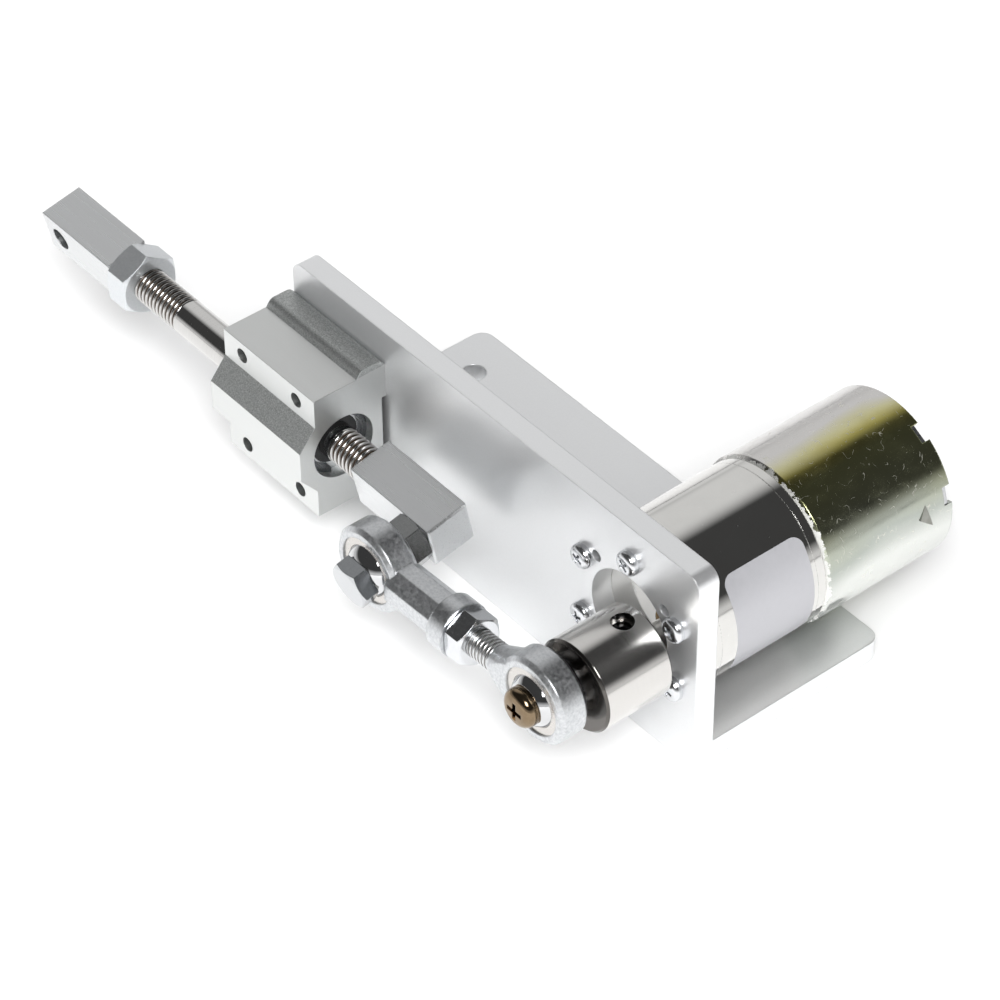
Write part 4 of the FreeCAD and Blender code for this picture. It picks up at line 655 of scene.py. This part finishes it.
def hairlines(tree, spacing_mm, width, share):
    """Stray scratches: contour lines of a noise, kept only where a second noise is high."""
    place = tree.nodes["place"].outputs["Object"]
    swirl = add(tree, "ShaderNodeTexNoise", {"Vector": place, "Scale": 1 / (spacing_mm * MM), "Detail": 1.0})
    off = add(tree, "ShaderNodeMath", {0: swirl, 1: NOISE_MIDDLE}, operation="SUBTRACT")
    line = add(tree, "ShaderNodeMapRange", {
        "Value": add(tree, "ShaderNodeMath", {0: off}, operation="ABSOLUTE"),
        "From Min": 0.0, "From Max": width, "To Min": 1.0, "To Max": 0.0})
    patch = add(tree, "ShaderNodeTexNoise", {
        "Vector": place, "Scale": PATCH_FINER / (spacing_mm * MM), "Detail": 2.0})
    kept = add(tree, "ShaderNodeMapRange", {
        "Value": patch, "From Min": SCRATCH_EDGE - share, "From Max": SCRATCH_FULL - share})
    return add(tree, "ShaderNodeMath", {0: line, 1: kept}, operation="MULTIPLY")


def scuffed(material, marks, pale):
    """Let a mask of marks break a mirror with a pale, dull line."""
    tree = material.node_tree
    colour = tree.nodes["shader"].inputs["Base Color"]
    roughness = tree.nodes["shader"].inputs["Roughness"]
    tone = add(tree, "ShaderNodeMix", {0: marks, 6: colour.links[0].from_socket, 7: linear(pale)},
               data_type="RGBA")
    gloss = add(tree, "ShaderNodeMix", {0: marks, 2: roughness.links[0].from_socket, 3: SCRATCH_ROUGH})
    tree.links.new(tone.outputs[2], colour)
    tree.links.new(gloss.outputs[0], roughness)


# Polished nickel mirrors the room almost black and white; the hairlines that handling leaves on it are
# drawn a few times too wide, so that they show
nickel = finish("polished_nickel_plate", "DDDCD9", "D2D1CE", (0.05, 0.08), 6.0, edge_mm=0.3)
scuffed(nickel, hairlines(nickel.node_tree, spacing_mm=2.4, width=0.008, share=-0.04), "F4F4F2")
dress(nickel, "gearbox_case", "gearbox_front_plate", "gearbox_rear_plate")
# Oil in its pores darkens sintered bronze to a dull brown
sintered = finish("oil_filled_sintered_bronze", "8C7452", "5F4C34", (0.35, 0.5), 0.3, relief_mm=0.01)
dress(sintered, "output_bush", "front_motor_bush", "rear_motor_bush")

# Label: a bare sticker of silver foil paper with round corners.
# It is wrapped on the side of the gearbox case, and glued down flat.
LABEL_TOP = math.radians(44)
LABEL_LOW = math.radians(122)
LABEL_FRONT = -15.6 * MM
LABEL_REAR = 4.4 * MM
LABEL_CORNER = 2.5 * MM
LABEL_THICK = 0.08 * MM
LABEL_GLUE = 0.01 * MM
LABEL_STEPS = 40
CORNER_STEPS = 8
case_radius = (case_high.x - case_low.x) / 2
arc_length = case_radius * (LABEL_LOW - LABEL_TOP)
reach = case_radius + LABEL_GLUE
corner_rows = [LABEL_CORNER * (1 - math.cos(math.radians(90 * i / CORNER_STEPS)))
               for i in range(CORNER_STEPS + 1)]
straight = arc_length - 2 * LABEL_CORNER
rows = corner_rows + [LABEL_CORNER + straight * i / LABEL_STEPS for i in range(1, LABEL_STEPS)]
rows += [arc_length - row for row in reversed(corner_rows)]
points = []
for row in rows:
    short = max(LABEL_CORNER - row, LABEL_CORNER - (arc_length - row), 0.0)
    inset = LABEL_CORNER - math.sqrt(LABEL_CORNER ** 2 - short ** 2)
    turn = LABEL_TOP + row / case_radius
    for y in (LABEL_FRONT + inset, LABEL_REAR - inset):
        points.append((motor_axis.x + reach * math.sin(turn), y, motor_axis.z + reach * math.cos(turn)))
faces = [(2 * i, 2 * i + 1, 2 * i + 3, 2 * i + 2) for i in range(len(rows) - 1)]
label_mesh = bpy.data.meshes.new("foil_label")
label_mesh.from_pydata(points, [], faces)
label = link("foil_label", label_mesh)
thickness = label.modifiers.new("thickness", "SOLIDIFY")
thickness.thickness = LABEL_THICK
thickness.offset = 1.0
settle(label)
# Metallised paper: a pale satin sheen with the paper's fine mottle under it
foil = finish("metallised_paper", "B8B8BC", "B0B0B4", (0.4, 0.5), 1.2, relief_mm=0.004, edge_mm=0.05,
              metallic=0.35)
label.data.materials.append(foil)
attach(crisp(label), "frame")

# Gear train: cut steel gears that turn on two ground pins, with an output wheel on the output shaft.
# A brass pinion on the motor drives them, and two screws inside hold the motor to the rear plate.

# Grease dulls cut steel to a warm grey with wet highlights
greased = finish("greased_gear_steel", "A6A49E", "7F7D77", (0.2, 0.36), 0.5)
dress(greased, "compound_gear_1", "compound_gear_2", "compound_gear_3", "compound_gear_4", "output_wheel",
      "gear_pins")
# Freshly cut brass is a yellow satin
cut_brass = finish("cut_brass", "D9B860", "B8964A", (0.2, 0.32), 0.4)
dress(cut_brass, "motor_pinion", "terminals")
dress(zinc, "motor_screws")

# Motor can: a deep drawn steel can, zinc plated and dipped in yellow chromate, closed by a pressed end cap.
# Its film's colour changes along one slant across the can, and the drawing die has scraped its front rim
# bare.
FILM_WAY_TURN = math.radians(120)
FILM_WAY = Vector((math.sin(FILM_WAY_TURN), 0.0, math.cos(FILM_WAY_TURN)))
FILM_DRIFT = 16 * MM
FILM_STRETCH = (1, 0.3, 1)
FILM_UNEVEN = 0.07
FILM_HUES = ((0.23, "D0CECC"), (0.3, "CBC79E"), (0.36, "C2B868"), (0.46, "B8BA86"), (0.7, "B6B999"),
             (0.87, "AEB3AC"), (1.0, "D8DAD6"))
RIM_WIDE = 1.3 * MM
RIM_FLAKE = 1.6 * MM
can_low, can_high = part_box("motor_can")
can_radius = (can_high.x - can_low.x) / 2

# Chromate is a thin film over a bright mirror: its colour drifts from none through straw to olive and
# back across the can, and handling has left fine pale scratches in it, drawn a little too wide
chromate = finish("yellow_chromate_zinc", "DADBD6", "CFD0CA", (0.1, 0.26), 3.0, (1, 0.5, 1), edge_mm=0.3)
tree = chromate.node_tree
place = tree.nodes["place"].outputs["Object"]
drift = add(tree, "ShaderNodeMapping", {"Vector": place, "Scale": FILM_STRETCH})
film = add(tree, "ShaderNodeTexNoise", {"Vector": drift, "Scale": 1 / FILM_DRIFT, "Detail": 2.0})
off_axis = add(tree, "ShaderNodeVectorMath", {0: place, 1: motor_axis}, operation="SUBTRACT")
across = add(tree, "ShaderNodeVectorMath", {0: off_axis, 1: FILM_WAY}, operation="DOT_PRODUCT")
depth = add(tree, "ShaderNodeMapRange", {
    "Value": across.outputs["Value"], "From Min": -can_radius, "From Max": can_radius})
uneven = add(tree, "ShaderNodeMapRange", {
    "Value": film, "From Min": NOISE_LOW, "From Max": NOISE_HIGH,
    "To Min": -FILM_UNEVEN, "To Max": FILM_UNEVEN})
thick = add(tree, "ShaderNodeMath", {0: depth, 1: uneven}, operation="ADD")
hues = add(tree, "ShaderNodeValToRGB", {"Fac": thick})
ramp = hues.color_ramp.elements
for end, (at, code) in zip(ramp, (FILM_HUES[0], FILM_HUES[-1])):
    end.position = at
    end.color = linear(code)
for at, code in FILM_HUES[1:-1]:
    ramp.new(at).color = linear(code)
tree.links.new(hues.outputs["Color"], tree.nodes["shader"].inputs["Base Color"])
scuffed(chromate, hairlines(tree, spacing_mm=2.6, width=0.014, share=0.1), "E9E8DE")
spot = add(tree, "ShaderNodeSeparateXYZ", {"Vector": place})
flakes = add(tree, "ShaderNodeTexNoise", {
    "Vector": place, "Scale": 1 / RIM_FLAKE, "Detail": 4.0, "Roughness": 0.65})
ragged = add(tree, "ShaderNodeMapRange", {
    "Value": flakes, "From Min": NOISE_LOW, "From Max": NOISE_HIGH,
    "To Min": can_low.y, "To Max": can_low.y + RIM_WIDE})
bare = add(tree, "ShaderNodeMath", {0: spot.outputs["Y"], 1: ragged}, operation="LESS_THAN")
scuffed(chromate, bare, "F4F4F1")
dress(chromate, "motor_can")

# Magnet stop: a small triangle of the can's wall, lanced and pushed to hold a magnet.
# Each corner is a place along the motor and a turn round it; one corner stands up from the wall.
STOP_CORNERS = ((34.1 * MM, math.radians(70)), (32.2 * MM, math.radians(78.5)),
                (35.7 * MM, math.radians(87.5)))
STOP_HIGH = (0.02 * MM, 0.3 * MM, 0.04 * MM)
STOP_FOOT = (-0.1 * MM, -0.1 * MM, -0.1 * MM)
STOP_STEPS = 8
spots = [(i, j) for i in range(STOP_STEPS + 1) for j in range(STOP_STEPS + 1 - i)]
index = {spot: n for n, spot in enumerate(spots)}
points = []
for heights in (STOP_FOOT, STOP_HIGH):
    for i, j in spots:
        shares = (i / STOP_STEPS, j / STOP_STEPS, 1 - (i + j) / STOP_STEPS)
        y = sum(share * corner[0] for share, corner in zip(shares, STOP_CORNERS))
        turn = sum(share * corner[1] for share, corner in zip(shares, STOP_CORNERS))
        reach = can_radius + sum(share * high for share, high in zip(shares, heights))
        points.append((motor_axis.x + reach * math.sin(turn), y, motor_axis.z + reach * math.cos(turn)))
faces = []
for i in range(STOP_STEPS):
    for j in range(STOP_STEPS - i):
        faces.append((index[i, j], index[i, j + 1], index[i + 1, j]))
        if j < STOP_STEPS - 1 - i:
            faces.append((index[i, j + 1], index[i + 1, j + 1], index[i + 1, j]))
faces += [tuple(len(spots) + corner for corner in reversed(face)) for face in faces]
edge = [(i, 0) for i in range(STOP_STEPS)] + [(STOP_STEPS - j, j) for j in range(STOP_STEPS)]
edge += [(0, STOP_STEPS - j) for j in range(STOP_STEPS)]
for start, end in zip(edge, edge[1:] + edge[:1]):
    faces.append((index[start], index[end], len(spots) + index[end], len(spots) + index[start]))
stop_mesh = bpy.data.meshes.new("lanced_magnet_stop")
stop_mesh.from_pydata(points, [], faces)
# Torn steel is bare, rough and patchy grey
torn = finish("torn_bare_steel", "B6B7B0", "63635D", (0.3, 0.5), 2.5, relief_mm=0.03, edge_mm=0.1)
stop_mesh.materials.append(torn)
magnet_stop = link("lanced_magnet_stop", stop_mesh)
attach(magnet_stop, "frame")

# Motor insides: a wound rotor between two ferrite magnets that spring clips hold apart.
# Carbon brushes press on the commutator from a plastic holder, and the end cap closes the can.

# Pressed sheet keeps a soft sheen under its thin zinc
pressed = finish("pressed_zinc_plated_steel", "CFD0D1", "B9BBBD", (0.24, 0.36), 0.8)
dress(pressed, "end_cap", "magnet_clips", "brush_springs")
# The edges of the stacked sheets show as fine dark lines round the core
laminated = finish("stacked_lamination_steel", "77787A", "4D4E50", (0.36, 0.5), 0.35, (0.05, 1, 0.05))
dress(laminated, "rotor_core")
# Enamel gives copper wire a deep orange gloss
enamelled = finish("enamelled_copper", "B9683A", "8A4523", (0.2, 0.34), 0.3)
dress(enamelled, "rotor_coils", "commutator")
# Fired ferrite is matt and charcoal black, and the carbon of the brushes looks the same
ferrite = finish("sintered_ferrite", "2A2A2C", "1C1C1E", (0.5, 0.66), 0.5, relief_mm=0.01, metallic=0.0)
dress(ferrite, "magnets", "brushes")

# Table and light: a white card table under soft light, with a large white screen at the back left,
# a small soft light above the camera and a dark room overhead, which the bright metals mirror.
FLOOR_REACH = 6.0
FLOOR_DROP = 0.1 * MM
corners = [(-FLOOR_REACH, -FLOOR_REACH), (FLOOR_REACH, -FLOOR_REACH), (FLOOR_REACH, FLOOR_REACH),
           (-FLOOR_REACH, FLOOR_REACH)]
floor_mesh = bpy.data.meshes.new("floor")
floor_mesh.from_pydata([(x, y, -FLOOR_DROP) for x, y in corners], [], [(0, 1, 2, 3)])
# Matt card gives an even white with no shine
floor_mesh.materials.append(finish("white_card", "FAFAFA", "F7F7F7", (0.7, 0.8), 20.0, metallic=0.0))
link("floor", floor_mesh)

# The walls are bright up to a low height, given as the sine of an angle, and the room above is dark
WALL_FULL = 0.08
WALL_END = 0.3
WALL_RADIANCE = 1.0
ROOM_RADIANCE = 0.075
# The screen fades toward its edge, given as the cosine of the angle from its middle
SCREEN_WAY = Vector((-0.72, 0.44, 0.54)).normalized()
SCREEN_EDGE = 0.76
SCREEN_FULL = 0.97
SCREEN_RADIANCE = 1.02
world = bpy.data.worlds.new("studio")
bpy.context.scene.world = world
world.use_nodes = True
sky = world.node_tree
sky.nodes.clear()
look = add(sky, "ShaderNodeTexCoord").outputs["Generated"]
heading = add(sky, "ShaderNodeSeparateXYZ", {"Vector": look})
walls = add(sky, "ShaderNodeMapRange", {
    "Value": heading.outputs["Z"], "From Min": WALL_FULL, "From Max": WALL_END,
    "To Min": WALL_RADIANCE, "To Max": ROOM_RADIANCE})
aside = add(sky, "ShaderNodeVectorMath", {0: look, 1: SCREEN_WAY}, operation="DOT_PRODUCT")
screen = add(sky, "ShaderNodeMapRange", {
    "Value": aside.outputs["Value"], "From Min": SCREEN_EDGE, "From Max": SCREEN_FULL,
    "To Max": SCREEN_RADIANCE}, interpolation_type="SMOOTHSTEP")
bright = add(sky, "ShaderNodeMath", {0: walls, 1: screen}, operation="MAXIMUM")
glow = add(sky, "ShaderNodeBackground", {"Strength": bright})
add(sky, "ShaderNodeOutputWorld", {"Surface": glow})


def softbox(name, way, distance, size, radiance, mirrored=True):
    """A square light that faces the object; if it isn't mirrored, only dull pieces show its light."""
    lamp = bpy.data.lights.new(name, "AREA")
    lamp.size = size
    lamp.energy = radiance * math.pi * size * size
    stand = bpy.data.objects.new(name, lamp)
    bpy.context.scene.collection.objects.link(stand)
    toward = Vector(way).normalized()
    stand.location = (cad_box[0] + cad_box[1]) / 2 + distance * toward
    stand.rotation_euler = (-toward).to_track_quat("-Z", "Y").to_euler()
    stand.visible_glossy = mirrored


softbox("key", way=(0.58, -0.37, 0.72), distance=1.6, size=0.62, radiance=13.0)
softbox("table_light", way=(0.3, -0.55, 0.8), distance=2.2, size=3.0, radiance=2.6, mirrored=False)

# Camera: where the photograph was taken from, with a long lens about 0.8 m away.
# Its place was solved from the bracket, the bearing block and the motor's screw circle.
CAMERA_AZIMUTH = math.radians(50.82)
CAMERA_ELEVATION = math.radians(42.2)
CAMERA_ROLL = math.radians(-0.44)
CAMERA_DISTANCE = 785.66 * MM
CAMERA_LENS_MM = 143.12
CAMERA_SENSOR_MM = 36.0
CAMERA_SIGHT = 20.0
CAMERA_TARGET = Vector((23.88, -27.5, 30.08)) * MM
back = Vector((math.sin(CAMERA_AZIMUTH) * math.cos(CAMERA_ELEVATION),
               -math.cos(CAMERA_AZIMUTH) * math.cos(CAMERA_ELEVATION), math.sin(CAMERA_ELEVATION)))
level = Vector((math.cos(CAMERA_AZIMUTH), math.sin(CAMERA_AZIMUTH), 0.0))
level = Matrix.Rotation(CAMERA_ROLL, 3, back) @ level
lens = bpy.data.cameras.new("camera")
lens.lens = CAMERA_LENS_MM
lens.sensor_width = CAMERA_SENSOR_MM
lens.clip_end = CAMERA_SIGHT
camera = bpy.data.objects.new("camera", lens)
bpy.context.scene.collection.objects.link(camera)
camera.matrix_world = Matrix.LocRotScale(
    CAMERA_TARGET + CAMERA_DISTANCE * back, Matrix((level, back.cross(level), back)).transposed(), None)
bpy.context.scene.camera = camera
bpy.context.scene.view_settings.view_transform = "Standard"
